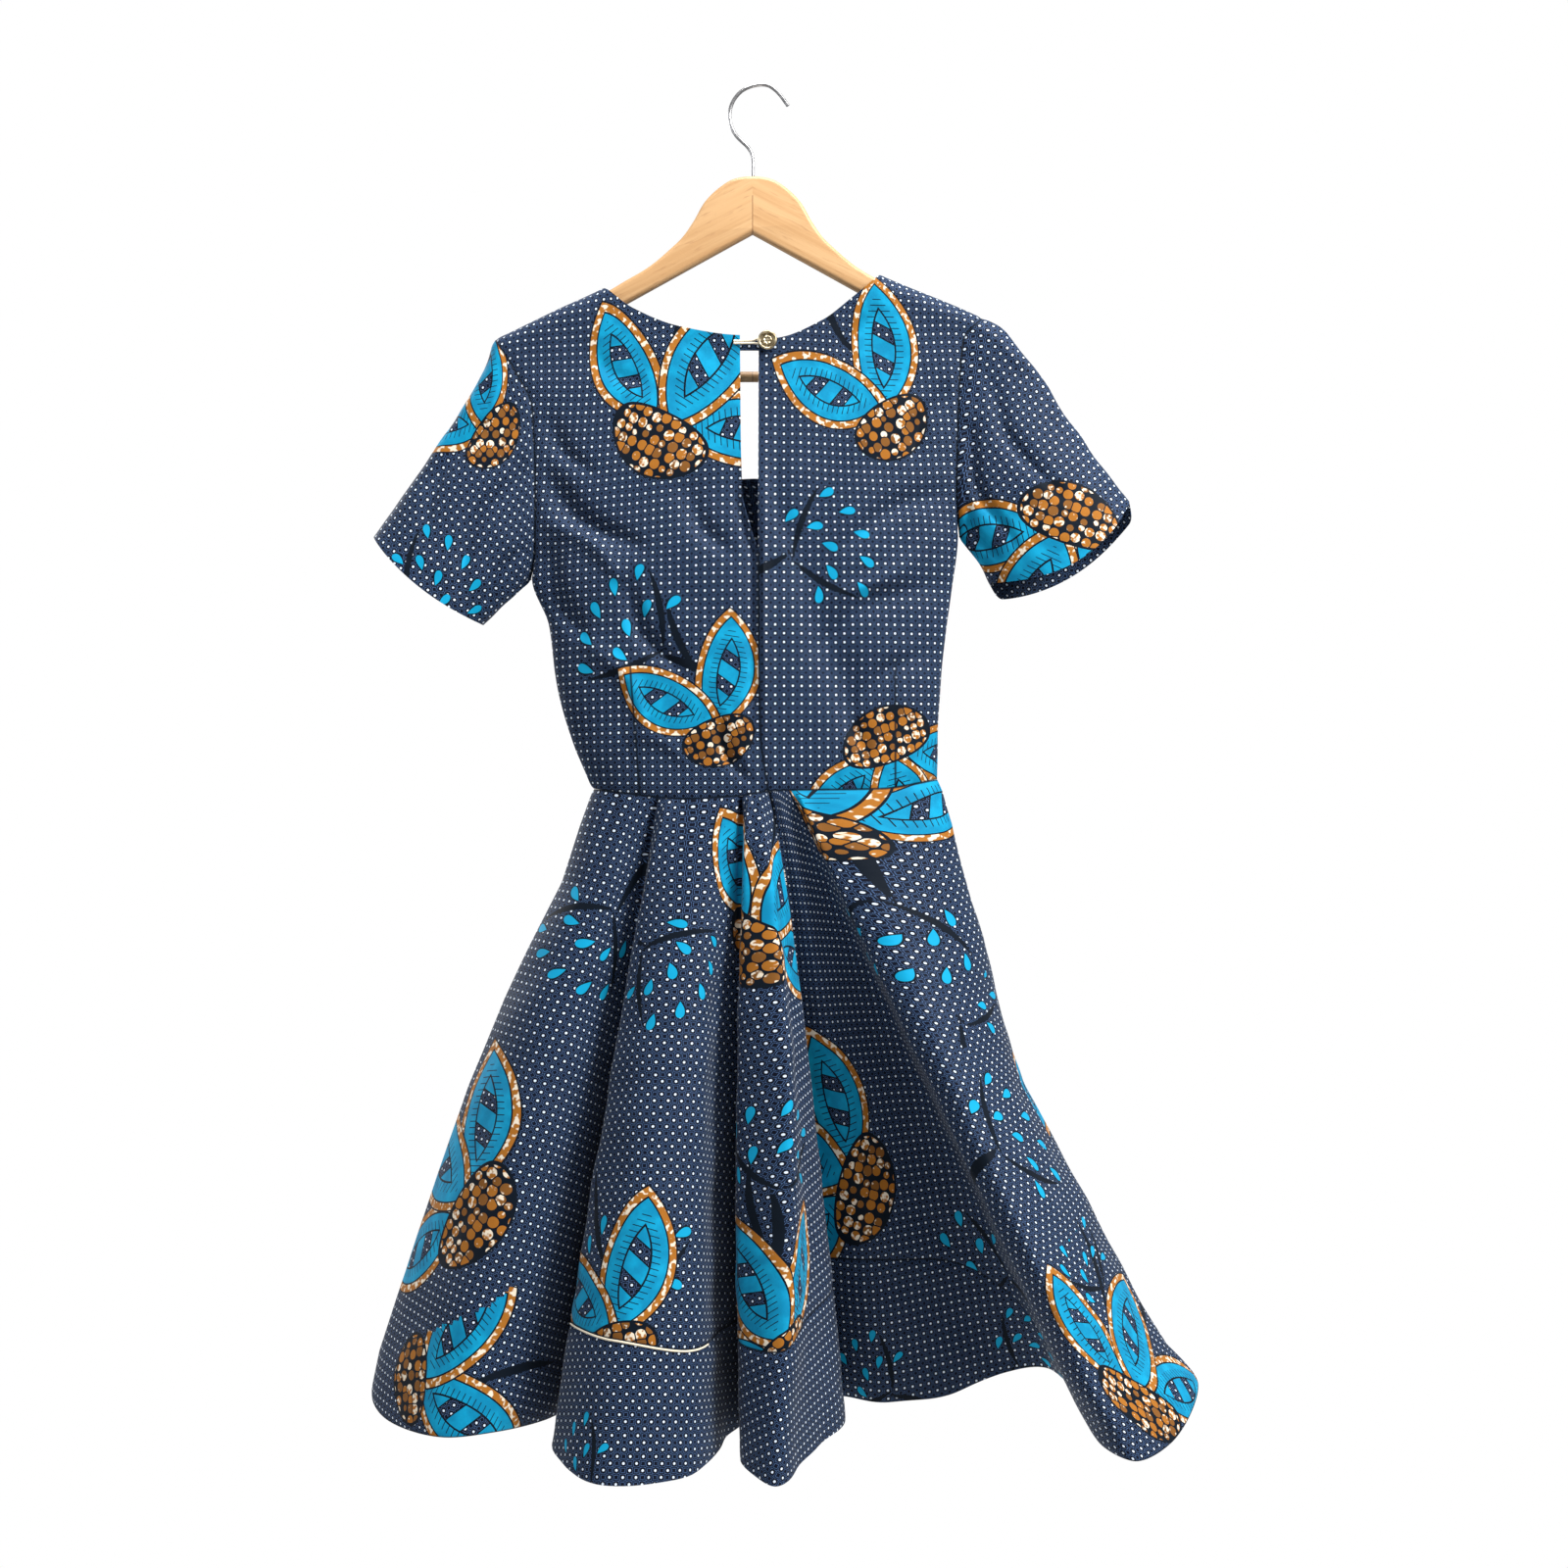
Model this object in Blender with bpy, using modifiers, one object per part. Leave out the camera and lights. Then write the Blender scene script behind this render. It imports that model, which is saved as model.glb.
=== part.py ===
"""A-line dress on its wooden hanger, hung up, with its fastened back towards -Y.

Metres, +Z up. The origin is the underside of the hook's crown, which carries everything.
Every cloth piece is a wall whose outer face is a formula over two shares, u across or round
the piece and v along it. The wall's inner face lies one cloth thickness further in.
"""
from collections import namedtuple
from math import pi

import bmesh
import bpy
import numpy as np

CLOTH = 0.0013
SEAM_GAP = 0.0003
WAIST_TRIM = 0.00028
RIDGE_TEST = -1e-4
SLOPE_STEP = 0.0004
SMOOTH_BELOW = 0.7
WELD_DISTANCE = 0.00005
COLLECTION = "a_line_dress"

# Hanger
HANGER_MIDDLE = -0.0085
WOOD_THICKNESS = 0.012
WOOD_ROUNDING = 0.0045
WIRE = 0.0032
BAR_DIAMETER = 0.009
BAR_Z = -0.252
BAR_HALF_LENGTH = 0.1838

# Bodice: n is the exponent of the rounded cross-section, flat at the back and full at the sides.
SECTION_N = 2.4
CAP_HEIGHT = 0.014
WAIST_BACK_DEPTH = 0.040
WAIST_FRONT_DEPTH = 0.040

# Button and loop
BUTTON_AT = (0.0044, -0.2246)
BUTTON_DIAMETER = 0.0166
BUTTON_RISE = 0.0034
BUTTON_THICKNESS = 0.0024
SHANK_DIAMETER = 0.0034
LOOP_DIAMETER = 0.0012
LOOP_START_X = -0.0245
LOOP_DROOP = 0.0012

Row = namedtuple("Row", "z value")
Spot = namedtuple("Spot", "x z")
Fold = namedtuple("Fold", "place hem_x hem_y hem_z waist_x flare belly")
Side = namedtuple("Side", "sign waist_z underarm_z tip_z edge shoulder neckline sleeve")
Cuffed = namedtuple("Cuffed", "share x z")
Sleeve = namedtuple("Sleeve", "top under depth near_bulge far_bulge")

# Side seam below the underarm and armhole above it, as x at each height.
LEFT_EDGE = (
    Row(-0.6093, -0.1470), Row(-0.5710, -0.1640), Row(-0.5200, -0.1785), Row(-0.4690, -0.1853),
    Row(-0.4280, -0.2000), Row(-0.4050, -0.1965), Row(-0.3500, -0.1955), Row(-0.2820, -0.1980),
    Row(-0.2500, -0.2125), Row(-0.2200, -0.2321),
)
RIGHT_EDGE = (
    Row(-0.6008, 0.1522), Row(-0.5710, 0.1522), Row(-0.5200, 0.1547), Row(-0.4775, 0.1590),
    Row(-0.4350, 0.1649), Row(-0.3908, 0.1700), Row(-0.3500, 0.1675), Row(-0.2735, 0.1692),
    Row(-0.2225, 0.1734), Row(-0.2013, 0.1913),
)
# How far round the full cross-section the cloth's edge lies: 1 is right at the side.
EDGE_SHARE = (
    Row(-0.0250, 1.000), Row(0.0000, 1.000), Row(0.0300, 0.955), Row(0.0800, 0.900),
    Row(0.1400, 0.830), Row(0.1780, 0.770), Row(0.2100, 0.720),
)
# Centre back: the seam line, and how wide the slit above it stands open.
CENTRE_BACK = (Row(-0.6120, 0.0055), Row(-0.5600, -0.0015), Row(-0.4080, -0.0034), Row(-0.2190, -0.0030))
SLIT_WIDTH = (Row(-0.4080, 0.0), Row(-0.3880, 0.0062), Row(-0.3550, 0.0140), Row(-0.2190, 0.0162))
BACK_DEPTH = (
    Row(-0.6120, WAIST_BACK_DEPTH), Row(-0.5200, 0.0380), Row(-0.4350, 0.0350), Row(-0.3500, 0.0300),
    Row(-0.2820, 0.0240), Row(-0.2190, 0.0190), Row(-0.1500, 0.0185),
)
FRONT_DEPTH = (
    Row(-0.6120, WAIST_FRONT_DEPTH), Row(-0.5000, 0.0420), Row(-0.4200, 0.0430), Row(-0.3500, 0.0360),
    Row(-0.2820, 0.0270), Row(-0.2190, 0.0195), Row(-0.1500, 0.0185),
)
WAIST_LINE = (
    Spot(-0.1470, -0.6093), Spot(-0.0650, -0.6175), Spot(-0.0200, -0.6150), Spot(0.0110, -0.6105),
    Spot(0.1000, -0.6090), Spot(0.1522, -0.6008),
)
# Back neckline from the centre to each neck point, then the shoulder seam to its tip.
LEFT_NECKLINE = (
    Spot(-0.0030, -0.2197), Spot(-0.0201, -0.2194), Spot(-0.0723, -0.2114), Spot(-0.1122, -0.1953),
    Spot(-0.1340, -0.1790), Spot(-0.1386, -0.1760),
)
RIGHT_NECKLINE = (
    Spot(-0.0030, -0.2228), Spot(0.0120, -0.2219), Spot(0.0516, -0.2063), Spot(0.0762, -0.1876),
    Spot(0.0990, -0.1686), Spot(0.1037, -0.1646),
)
LEFT_TIP = Spot(-0.2321, -0.2200)
RIGHT_TIP = Spot(0.1913, -0.2013)
RIDGE_AT_MIDDLE = Spot(-0.0085, -0.0680)
CENTRE_WAIST_Z = -0.6110
FRONT_NECK_BOTTOM = Spot(-0.0175, -0.3370)
FRONT_SCOOP = 0.8

LEFT_SLEEVE = Sleeve(
    top=(Cuffed(0.0, -0.2321, -0.2200), Cuffed(0.13, -0.2406, -0.2438), Cuffed(0.34, -0.2619, -0.2820),
         Cuffed(0.57, -0.2874, -0.3203), Cuffed(1.0, -0.3366, -0.3908)),
    under=(Cuffed(0.0, -0.2000, -0.4280), Cuffed(0.5, -0.2200, -0.4460), Cuffed(1.0, -0.2423, -0.4673)),
    depth=(0.017, 0.034), near_bulge=0.008, far_bulge=0.005,
)
RIGHT_SLEEVE = Sleeve(
    top=(Cuffed(0.0, 0.1913, -0.2013), Cuffed(0.11, 0.2100, -0.2123), Cuffed(0.25, 0.2270, -0.2353),
         Cuffed(0.50, 0.2567, -0.2778), Cuffed(0.78, 0.2907, -0.3245), Cuffed(1.0, 0.3179, -0.3602)),
    under=(Cuffed(0.0, 0.1700, -0.3908), Cuffed(0.5, 0.1855, -0.4110), Cuffed(1.0, 0.1972, -0.4316)),
    depth=(0.017, 0.035), near_bulge=0.022, far_bulge=0.016,
)
LEFT = Side(-1, -0.6093, -0.4280, -0.2200, LEFT_EDGE, LEFT_TIP, LEFT_NECKLINE, LEFT_SLEEVE)
RIGHT = Side(1, -0.6008, -0.3908, -0.2013, RIGHT_EDGE, RIGHT_TIP, RIGHT_NECKLINE, RIGHT_SLEEVE)

# Skirt folds in order round the hem: along the back from the left side seam, then the front.
FOLDS = (
    Fold("left side seam", -0.3444, 0.010, -1.1348, -0.1470, 1.00, 0.000),
    Fold("cone 1 rise", -0.3225, -0.050, -1.1415, -0.1400, 1.00, 0.000),
    Fold("cone 1 crest", -0.2616, -0.110, -1.1391, -0.1250, 1.00, 0.000),
    Fold("cone 1 flank", -0.2195, -0.098, -1.1385, -0.1130, 0.95, 0.000),
    Fold("cone 1 turn", -0.1841, -0.050, -1.1430, -0.1030, 0.85, 0.000),
    Fold("valley 1", -0.1560, 0.022, -1.1475, -0.0900, 0.82, 0.000),
    Fold("cone 2 turn", -0.1732, -0.090, -1.1532, -0.0780, 0.82, 0.000),
    Fold("cone 2 left crest", -0.1288, -0.165, -1.1599, -0.0630, 0.90, 0.000),
    Fold("cone 2 right crest", -0.0588, -0.150, -1.1585, -0.0420, 0.90, -0.004),
    Fold("cone 2 lap", -0.0270, -0.062, -1.1516, -0.0270, 0.90, -0.010),
    Fold("valley 2", -0.0080, -0.012, -1.1520, -0.0180, 0.90, -0.006),
    Fold("cone 3 turn", -0.0165, -0.112, -1.1576, -0.0110, 0.90, -0.004),
    Fold("cone 3 crest", 0.0117, -0.155, -1.1647, -0.0050, 0.80, 0.016),
    Fold("cone 3 flank", 0.0410, -0.090, -1.1572, 0.0010, 0.78, 0.008),
    Fold("cone 3 edge", 0.0711, -0.020, -1.1520, 0.0045, 0.75, 0.000),
    Fold("centre back", 0.0690, 0.012, -1.1489, 0.0055, 0.75, 0.000),
    Fold("curl", 0.0640, 0.034, -1.1464, 0.0080, 0.75, 0.000),
    Fold("strip", 0.1101, 0.016, -1.1458, 0.0110, 0.85, 0.000),
    Fold("recess 1", 0.1646, 0.030, -1.1429, 0.0140, 0.95, 0.000),
    Fold("recess 2", 0.2148, 0.042, -1.1266, 0.0165, 1.00, 0.000),
    Fold("recess 3", 0.2530, 0.036, -1.1214, 0.0190, 1.00, 0.000),
    Fold("cone 4 turn", 0.2690, -0.020, -1.1300, 0.0220, 1.00, 0.000),
    Fold("cone 4 rise", 0.2768, -0.120, -1.1435, 0.0300, 1.02, 0.000),
    Fold("cone 4 crest", 0.2980, -0.148, -1.1467, 0.0560, 1.06, 0.000),
    Fold("cone 4 flank", 0.3359, -0.105, -1.1454, 0.1060, 1.24, 0.000),
    Fold("cone 4 edge", 0.3699, -0.040, -1.1301, 0.1400, 1.44, 0.000),
    Fold("right side seam", 0.3818, 0.015, -1.1218, 0.1522, 1.48, 0.000),
    Fold("front turn right", 0.3700, 0.085, -1.1230, 0.1470, 1.35, 0.003),
    Fold("front crest 1 right", 0.3350, 0.140, -1.1270, 0.1380, 1.25, 0.004),
    Fold("front crest 1 left", 0.2920, 0.150, -1.1300, 0.1220, 1.15, 0.003),
    Fold("front valley 1", 0.2550, 0.096, -1.1300, 0.1080, 1.05, 0.000),
    Fold("front crest 2 right", 0.2220, 0.135, -1.1420, 0.0940, 1.00, 0.000),
    Fold("front crest 2 left", 0.1700, 0.152, -1.1470, 0.0730, 1.00, 0.000),
    Fold("front valley 2", 0.1280, 0.082, -1.1500, 0.0550, 1.00, 0.000),
    Fold("front crest 3 right", 0.1000, 0.140, -1.1580, 0.0420, 1.00, 0.000),
    Fold("front crest 3 left", 0.0350, 0.162, -1.1570, 0.0160, 1.00, 0.000),
    Fold("front valley 3", 0.0040, 0.086, -1.1640, 0.0020, 1.00, 0.000),
    Fold("front crest 4 right", -0.0220, 0.126, -1.1620, -0.0100, 1.00, 0.000),
    Fold("front crest 4 left", -0.0700, 0.134, -1.1620, -0.0300, 1.00, 0.000),
    Fold("front valley 4", -0.0980, 0.072, -1.1650, -0.0450, 1.00, 0.000),
    Fold("front crest 5 right", -0.1220, 0.138, -1.1620, -0.0570, 1.00, 0.000),
    Fold("front crest 5 left", -0.1900, 0.158, -1.1510, -0.0830, 1.00, 0.000),
    Fold("front valley 5", -0.2220, 0.090, -1.1520, -0.0980, 1.00, 0.000),
    Fold("front crest 6 right", -0.2480, 0.130, -1.1440, -0.1100, 1.00, 0.000),
    Fold("front crest 6 left", -0.3000, 0.128, -1.1330, -0.1280, 1.00, 0.000),
    Fold("front turn left", -0.3330, 0.072, -1.1330, -0.1400, 1.00, 0.000),
)
# Straight joins where a second piece of cloth makes up the hem: share of the length at each fold.
LEFT_JOIN = {"valley 1": 1.0, "cone 2 turn": 0.812, "cone 2 left crest": 0.800, "cone 2 right crest": 0.822,
             "cone 2 lap": 0.835, "valley 2": 0.835, "cone 3 turn": 0.830, "cone 3 crest": 0.815,
             "cone 3 flank": 0.800, "cone 3 edge": 0.790, "centre back": 0.785}
RIGHT_JOIN = {"centre back": 0.765, "curl": 0.765, "strip": 0.762, "recess 1": 0.770, "recess 2": 0.810,
              "recess 3": 0.880, "cone 4 turn": 1.0}


def pchip(xs, ys, at):
    """Smooth curve through the points that never overshoots them."""
    xs = np.asarray(xs, float)
    ys = np.asarray(ys, float)
    step = np.diff(xs)
    rise = np.diff(ys) / step
    slope = np.zeros(len(xs))
    slope[0] = rise[0]
    slope[-1] = rise[-1]
    same = rise[1:] * rise[:-1] > 0
    slope[1:-1][same] = 2 * rise[1:][same] * rise[:-1][same] / (rise[1:] + rise[:-1])[same]
    return hermite(xs, ys, slope, at)


def hermite(xs, ys, slope, at):
    """Cubic pieces through the points, straight on beyond both ends."""
    at = np.asarray(at, float)
    k = np.clip(np.searchsorted(xs, at) - 1, 0, len(xs) - 2)
    h = xs[k + 1] - xs[k]
    t = np.clip((at - xs[k]) / h, 0, 1)
    inside = ((1 + 2 * t) * (1 - t) ** 2 * ys[k] + t * (1 - t) ** 2 * h * slope[k]
              + t * t * (3 - 2 * t) * ys[k + 1] - t * t * (1 - t) * h * slope[k + 1])
    before = np.minimum(at - xs[0], 0) * slope[0]
    after = np.maximum(at - xs[-1], 0) * slope[-1]
    return inside + before + after


def at_height(rows, z):
    """A table's value at height z."""
    return pchip([row.z for row in rows], [row.value for row in rows], z)


def along(spots, x):
    """A line's height at x, through spots in either order."""
    spots = sorted(spots)
    return pchip([spot.x for spot in spots], [spot.z for spot in spots], x)


def signed_power(base, exponent):
    return np.sign(base) * np.abs(base) ** exponent


def cap(drop):
    """Rounding over the shoulder: 0 on the ridge, 1 from CAP_HEIGHT below it."""
    left = 1 - np.clip(drop, 0, CAP_HEIGHT) / CAP_HEIGHT
    return np.sqrt(1 - left * left)


def ridge(side, x):
    """Height of the shoulder ridge, carried on over the hanger inside the neck."""
    neck = side.neckline[-1]
    outer = (neck.z - side.shoulder.z) / (neck.x - side.shoulder.x)
    inner = (RIDGE_AT_MIDDLE.z - neck.z) / (RIDGE_AT_MIDDLE.x - neck.x)
    beyond = (x - neck.x) * side.sign > 0
    return neck.z + (x - neck.x) * np.where(beyond, outer, inner)


def back_neckline(side, x):
    return along(side.neckline, x)


def front_neckline(side, x):
    """A scoop from the neck point down to the middle of the front."""
    neck = side.neckline[-1]
    share = np.clip((x - FRONT_NECK_BOTTOM.x) / (neck.x - FRONT_NECK_BOTTOM.x), 0, 1)
    return neck.z - (neck.z - FRONT_NECK_BOTTOM.z) * (1 - share ** 2) ** FRONT_SCOOP


def top_line(side, face, x):
    """Top edge of a bodice panel: neckline, then shoulder seam."""
    inside = (x - side.neckline[-1].x) * side.sign < 0
    line = front_neckline if face > 0 else back_neckline
    return np.where(inside, line(side, x), ridge(side, x))


def bodice_x(side, face, u, v):
    """x on a bodice panel: u from its inner edge to the side or armhole, v from waist to top."""
    v = np.clip(v, -0.01, 1.0)
    edge_z = side.waist_z + v * (side.tip_z - side.waist_z)
    edge_x = at_height(side.edge, edge_z)
    share = np.minimum(at_height(EDGE_SHARE, edge_z - side.underarm_z), 1.0)
    middle_z = CENTRE_WAIST_Z + v * (side.neckline[0].z - CENTRE_WAIST_Z)
    middle_x = at_height(CENTRE_BACK, middle_z)
    half = edge_x - middle_x
    opened = 0.0 * half
    if face < 0 and side.sign < 0:
        opened = np.maximum(at_height(SLIT_WIDTH, middle_z), 0) / np.abs(half)
    start = np.arcsin(signed_power(opened * share, SECTION_N / 2))
    angle = start + u * (np.arcsin(share ** (SECTION_N / 2)) - start)
    x = middle_x + half * signed_power(np.sin(angle), 2 / SECTION_N) / share
    return x, signed_power(np.cos(angle), 2 / SECTION_N)


def bodice(side, face, u, v):
    """Points of a bodice panel's outer face; face is -1 at the back and +1 at the front."""
    x, fullness = bodice_x(side, face, u, v)
    top = top_line(side, face, bodice_x(side, face, u, np.ones_like(v))[0])
    bottom = along(WAIST_LINE, bodice_x(side, face, u, np.zeros_like(v))[0])
    z = bottom + v * (top - bottom)
    depth = at_height(BACK_DEPTH if face < 0 else FRONT_DEPTH, z)
    y = face * depth * fullness * cap(ridge(side, x) - z)
    return np.stack([x, y, z], axis=-1)


def back_surface(x, z, inward=0.0):
    """The back of the bodice as if it had no slit, moved in towards the front."""
    half = at_height(RIGHT_EDGE, -0.23) - at_height(CENTRE_BACK, z)
    share = np.clip(np.abs(x - at_height(CENTRE_BACK, z)) / half * 0.75, 0, 1)
    return -at_height(BACK_DEPTH, z) * (1 - share ** SECTION_N) ** (1 / SECTION_N) + inward


def neck_share(side, face):
    """The u of the column that runs to the neck point."""
    us = np.linspace(0, 1, 2001)
    x = bodice_x(side, face, us, np.ones_like(us))[0]
    return float(np.interp(side.neckline[-1].x * side.sign, x * side.sign, us))


def sleeve_point(rows, share):
    """x and z of a sleeve's top or under line at a share of its length."""
    shares = [row.share for row in rows]
    x = pchip(shares, [row.x for row in rows], share)
    z = pchip(shares, [row.z for row in rows], share)
    return np.stack([x, z], axis=-1)


def armhole_share(side):
    return (side.underarm_z - side.waist_z) / (side.tip_z - side.waist_z)


def armhole(side, turn):
    """The armhole: turn 0 at the underarm, 0.5 at the shoulder tip, back edge first."""
    turn = np.mod(turn, 1.0)
    low = armhole_share(side)
    v = low + (1 - low) * (1 - np.cos(2 * pi * turn)) / 2
    ones = np.ones_like(v)
    return np.where((turn < 0.5)[..., None], bodice(side, -1, ones, v), bodice(side, 1, ones, v))


def sleeve(side, turn, share):
    """Points of a sleeve's outer face, from the armhole (share 0) to the cuff (share 1)."""
    cut = side.sleeve

    def oval(part):
        top = sleeve_point(cut.top, part)
        under = sleeve_point(cut.under, part)
        swing = np.cos(2 * pi * turn)[..., None]
        flat = (top + under) / 2 - (top - under) / 2 * swing
        depth = cut.depth[0] + (cut.depth[1] - cut.depth[0]) * part
        return np.stack([flat[..., 0], -depth * np.sin(2 * pi * turn), flat[..., 1]], axis=-1)

    turn, share = np.broadcast_arrays(np.asarray(turn, float), np.asarray(share, float))
    first = np.zeros_like(share)
    points = oval(share) + ((1 - share) ** 2)[..., None] * (armhole(side, turn) - oval(first))
    chord = sleeve_point(cut.top, 1.0) - sleeve_point(cut.under, 1.0)
    outward = np.array([-chord[1], 0.0, chord[0]]) / np.linalg.norm(chord)
    outward = outward * np.sign(outward[0]) * side.sign
    bulge = np.where(np.sin(2 * pi * turn) > 0, cut.near_bulge, cut.far_bulge)
    push = bulge * np.sin(2 * pi * turn) ** 2 * np.clip(share, 0, 1) ** 3
    return points + push[..., None] * outward


class FoldRing:
    """The skirt's folds as smooth closed curves over t, which runs round the hem."""

    def __init__(self, folds):
        ring = [(fold.hem_x, fold.hem_y) for fold in folds]
        gaps = [np.hypot(*np.subtract(ring[i], ring[i - 1])) ** 0.5 for i in range(1, len(ring))]
        self.knots = np.concatenate([[0.0], np.cumsum(gaps)])
        self.period = self.knots[-1] + np.hypot(*np.subtract(ring[0], ring[-1])) ** 0.5
        self.folds = folds
        self.at = {fold.place: t for fold, t in zip(folds, self.knots)}

    def column(self, name, t):
        values = np.array([getattr(fold, name) for fold in self.folds])
        wraps = (-1, 0, 1)
        knots = np.concatenate([self.knots + k * self.period for k in wraps])
        values = np.tile(values, len(wraps))
        before = np.diff(values)[:-1] / np.diff(knots)[:-1]
        after = np.diff(values)[1:] / np.diff(knots)[1:]
        weight = np.diff(knots)[1:] / (knots[2:] - knots[:-2])
        slope = np.zeros(len(values))
        slope[1:-1] = before * weight + after * (1 - weight)
        return hermite(knots, values, slope, t)

    def waist_x(self, t):
        """Waist positions, smooth but never turning back."""
        low = self.at["left side seam"]
        turn = self.at["right side seam"]
        t = np.mod(t - low, self.period) + low
        xs = [fold.waist_x for fold in self.folds]
        count = list(self.at).index("right side seam") + 1
        back = pchip(self.knots[:count], xs[:count], np.minimum(t, turn))
        ends = np.append(self.knots[count - 1:], self.period)
        front = pchip(ends, xs[count - 1:] + xs[:1], np.maximum(t, turn))
        return np.where(t <= turn, back, front)


RING = FoldRing(FOLDS)


def waist_y(x, face):
    """Depth of the waist ring at x, on the same rounded section as the bodice."""
    middle = CENTRE_BACK[0].value
    half = np.where(x < middle, middle - LEFT_EDGE[0].value, RIGHT_EDGE[0].value - middle)
    share = np.clip(np.abs(x - middle) / half, 0, 1)
    depth = np.where(face < 0, WAIST_BACK_DEPTH, WAIST_FRONT_DEPTH)
    return face * depth * (1 - share ** SECTION_N) ** (1 / SECTION_N)


def skirt(t, s):
    """Points of the skirt's outer face: t round the hem, s from waist to hem."""
    t, s = np.broadcast_arrays(np.asarray(t, float), np.asarray(s, float))
    face = np.where(np.mod(t, RING.period) <= RING.at["right side seam"], -1.0, 1.0)
    x0 = RING.waist_x(t)
    y0 = waist_y(x0, face)
    z0 = along(WAIST_LINE, x0)
    down = np.maximum(s, 0)
    flare = RING.column("flare", t)
    belly = RING.column("belly", t) * np.sin(pi * np.clip(s, 0, 1))
    x = x0 + (RING.column("hem_x", t) - x0) * down ** flare + belly
    y = y0 + (RING.column("hem_y", t) - y0) * down
    z = z0 + (RING.column("hem_z", t) - z0) * s
    return np.stack([x, y, z], axis=-1)


def unit(vectors):
    return vectors / np.maximum(np.linalg.norm(vectors, axis=-1, keepdims=True), 1e-12)


class Panel:
    """A wall over a grid of shares: outer points, outward normals and the edges' trims."""

    def __init__(self, name, surface, us, vs, flip, closed=False):
        step = SLOPE_STEP
        self.name = name
        self.closed = closed
        self.flip = flip
        self.outer = surface(us, vs)
        across = surface(us + step, vs) - surface(us - step, vs)
        up = surface(us, vs + step) - surface(us, vs - step)
        self.normal = unit(np.cross(across, up)) * (-1 if flip else 1)
        self.thickness = np.full(us.shape, CLOTH)

    def inward(self, edge):
        """Unit vectors along the cloth from an edge into the panel."""
        here, next_to = EDGES[edge]
        return unit(self.outer[next_to] - self.outer[here])

    def wall(self, trims):
        """Outer and inner grids, with the named edges drawn back by half a seam gap."""
        moved = np.zeros_like(self.outer)
        for edge in trims:
            back_off = WAIST_TRIM if edge == "v0" and not self.closed else SEAM_GAP / 2
            moved[EDGES[edge][0]] += self.inward(edge) * back_off
        outer = self.outer + moved
        return outer, outer - self.normal * self.thickness[..., None]


EDGES = {
    "u0": ((0, slice(None)), (1, slice(None))),
    "u1": ((-1, slice(None)), (-2, slice(None))),
    "v0": ((slice(None), 0), (slice(None), 1)),
    "v1": ((slice(None), -1), (slice(None), -2)),
}


def mitre(first, first_key, second, second_key, second_in):
    """Where two walls meet at a ridge, both end on the plane that halves the angle."""
    a = first.normal[first_key]
    b = second.normal[second_key]
    ridge_here = np.sum(a * second_in, axis=-1) < RIDGE_TEST
    shared = unit(a + b)
    stretch = 1 / np.clip(np.sum(a * shared, axis=-1), 0.6, 1)
    for panel, key in ((first, first_key), (second, second_key)):
        panel.normal[key] = np.where(ridge_here[..., None], shared, panel.normal[key])
        panel.thickness[key] = np.where(ridge_here, CLOTH * stretch, panel.thickness[key])


def material(name, colour, roughness, metallic=0.0):
    """A Principled material with plain values."""
    made = bpy.data.materials.new(name)
    made.use_nodes = True
    shader = made.node_tree.nodes["Principled BSDF"]
    shader.inputs["Base Color"].default_value = (*colour, 1.0)
    shader.inputs["Roughness"].default_value = roughness
    shader.inputs["Metallic"].default_value = metallic
    made.diffuse_color = (*colour, 1.0)
    return made


def own_material(name, look):
    """The piece's own copy of its material."""
    made = look.copy()
    made.name = name
    return made


def add_object(name, data, look, home):
    made = bpy.data.objects.new(name, data)
    data.materials.append(own_material(name, look))
    home.objects.link(made)
    return made


def build_wall(panel, trims, look, home):
    """One closed mesh from a panel's outer and inner grids and the rim between them."""
    outer, inner = panel.wall(trims)
    nu, nv = outer.shape[:2]
    points = np.concatenate([outer.reshape(-1, 3), inner.reshape(-1, 3)])
    columns = nu if panel.closed else nu - 1
    faces = []

    def corner(i, j, layer):
        return layer * nu * nv + (i % nu) * nv + j

    def quad(a, b, c, d):
        faces.append((d, c, b, a) if panel.flip else (a, b, c, d))

    for i in range(columns):
        for j in range(nv - 1):
            quad(corner(i, j, 0), corner(i + 1, j, 0), corner(i + 1, j + 1, 0), corner(i, j + 1, 0))
            quad(corner(i, j, 1), corner(i, j + 1, 1), corner(i + 1, j + 1, 1), corner(i + 1, j, 1))
        quad(corner(i, 0, 0), corner(i, 0, 1), corner(i + 1, 0, 1), corner(i + 1, 0, 0))
        last = nv - 1
        quad(corner(i, last, 0), corner(i + 1, last, 0), corner(i + 1, last, 1), corner(i, last, 1))
    if not panel.closed:
        last = nu - 1
        for j in range(nv - 1):
            quad(corner(0, j, 0), corner(0, j + 1, 0), corner(0, j + 1, 1), corner(0, j, 1))
            quad(corner(last, j, 0), corner(last, j, 1), corner(last, j + 1, 1), corner(last, j + 1, 0))
    mesh = bpy.data.meshes.new(panel.name)
    mesh.from_pydata(points.tolist(), [], faces)
    mesh.validate()
    mesh.shade_smooth()
    mesh.set_sharp_from_angle(angle=SMOOTH_BELOW)
    return add_object(panel.name, mesh, look, home)


# Rows that every bodice panel shares, as shares of the way below and above the underarm.
LOW_ROWS = (0.0, 0.25, 0.5, 0.75, 0.92)
HIGH_ROWS = (0.0, 0.035, 0.11, 0.22, 0.36, 0.52, 0.68, 0.80, 0.885, 0.935, 0.965, 0.984, 0.9955, 1.0)


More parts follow.
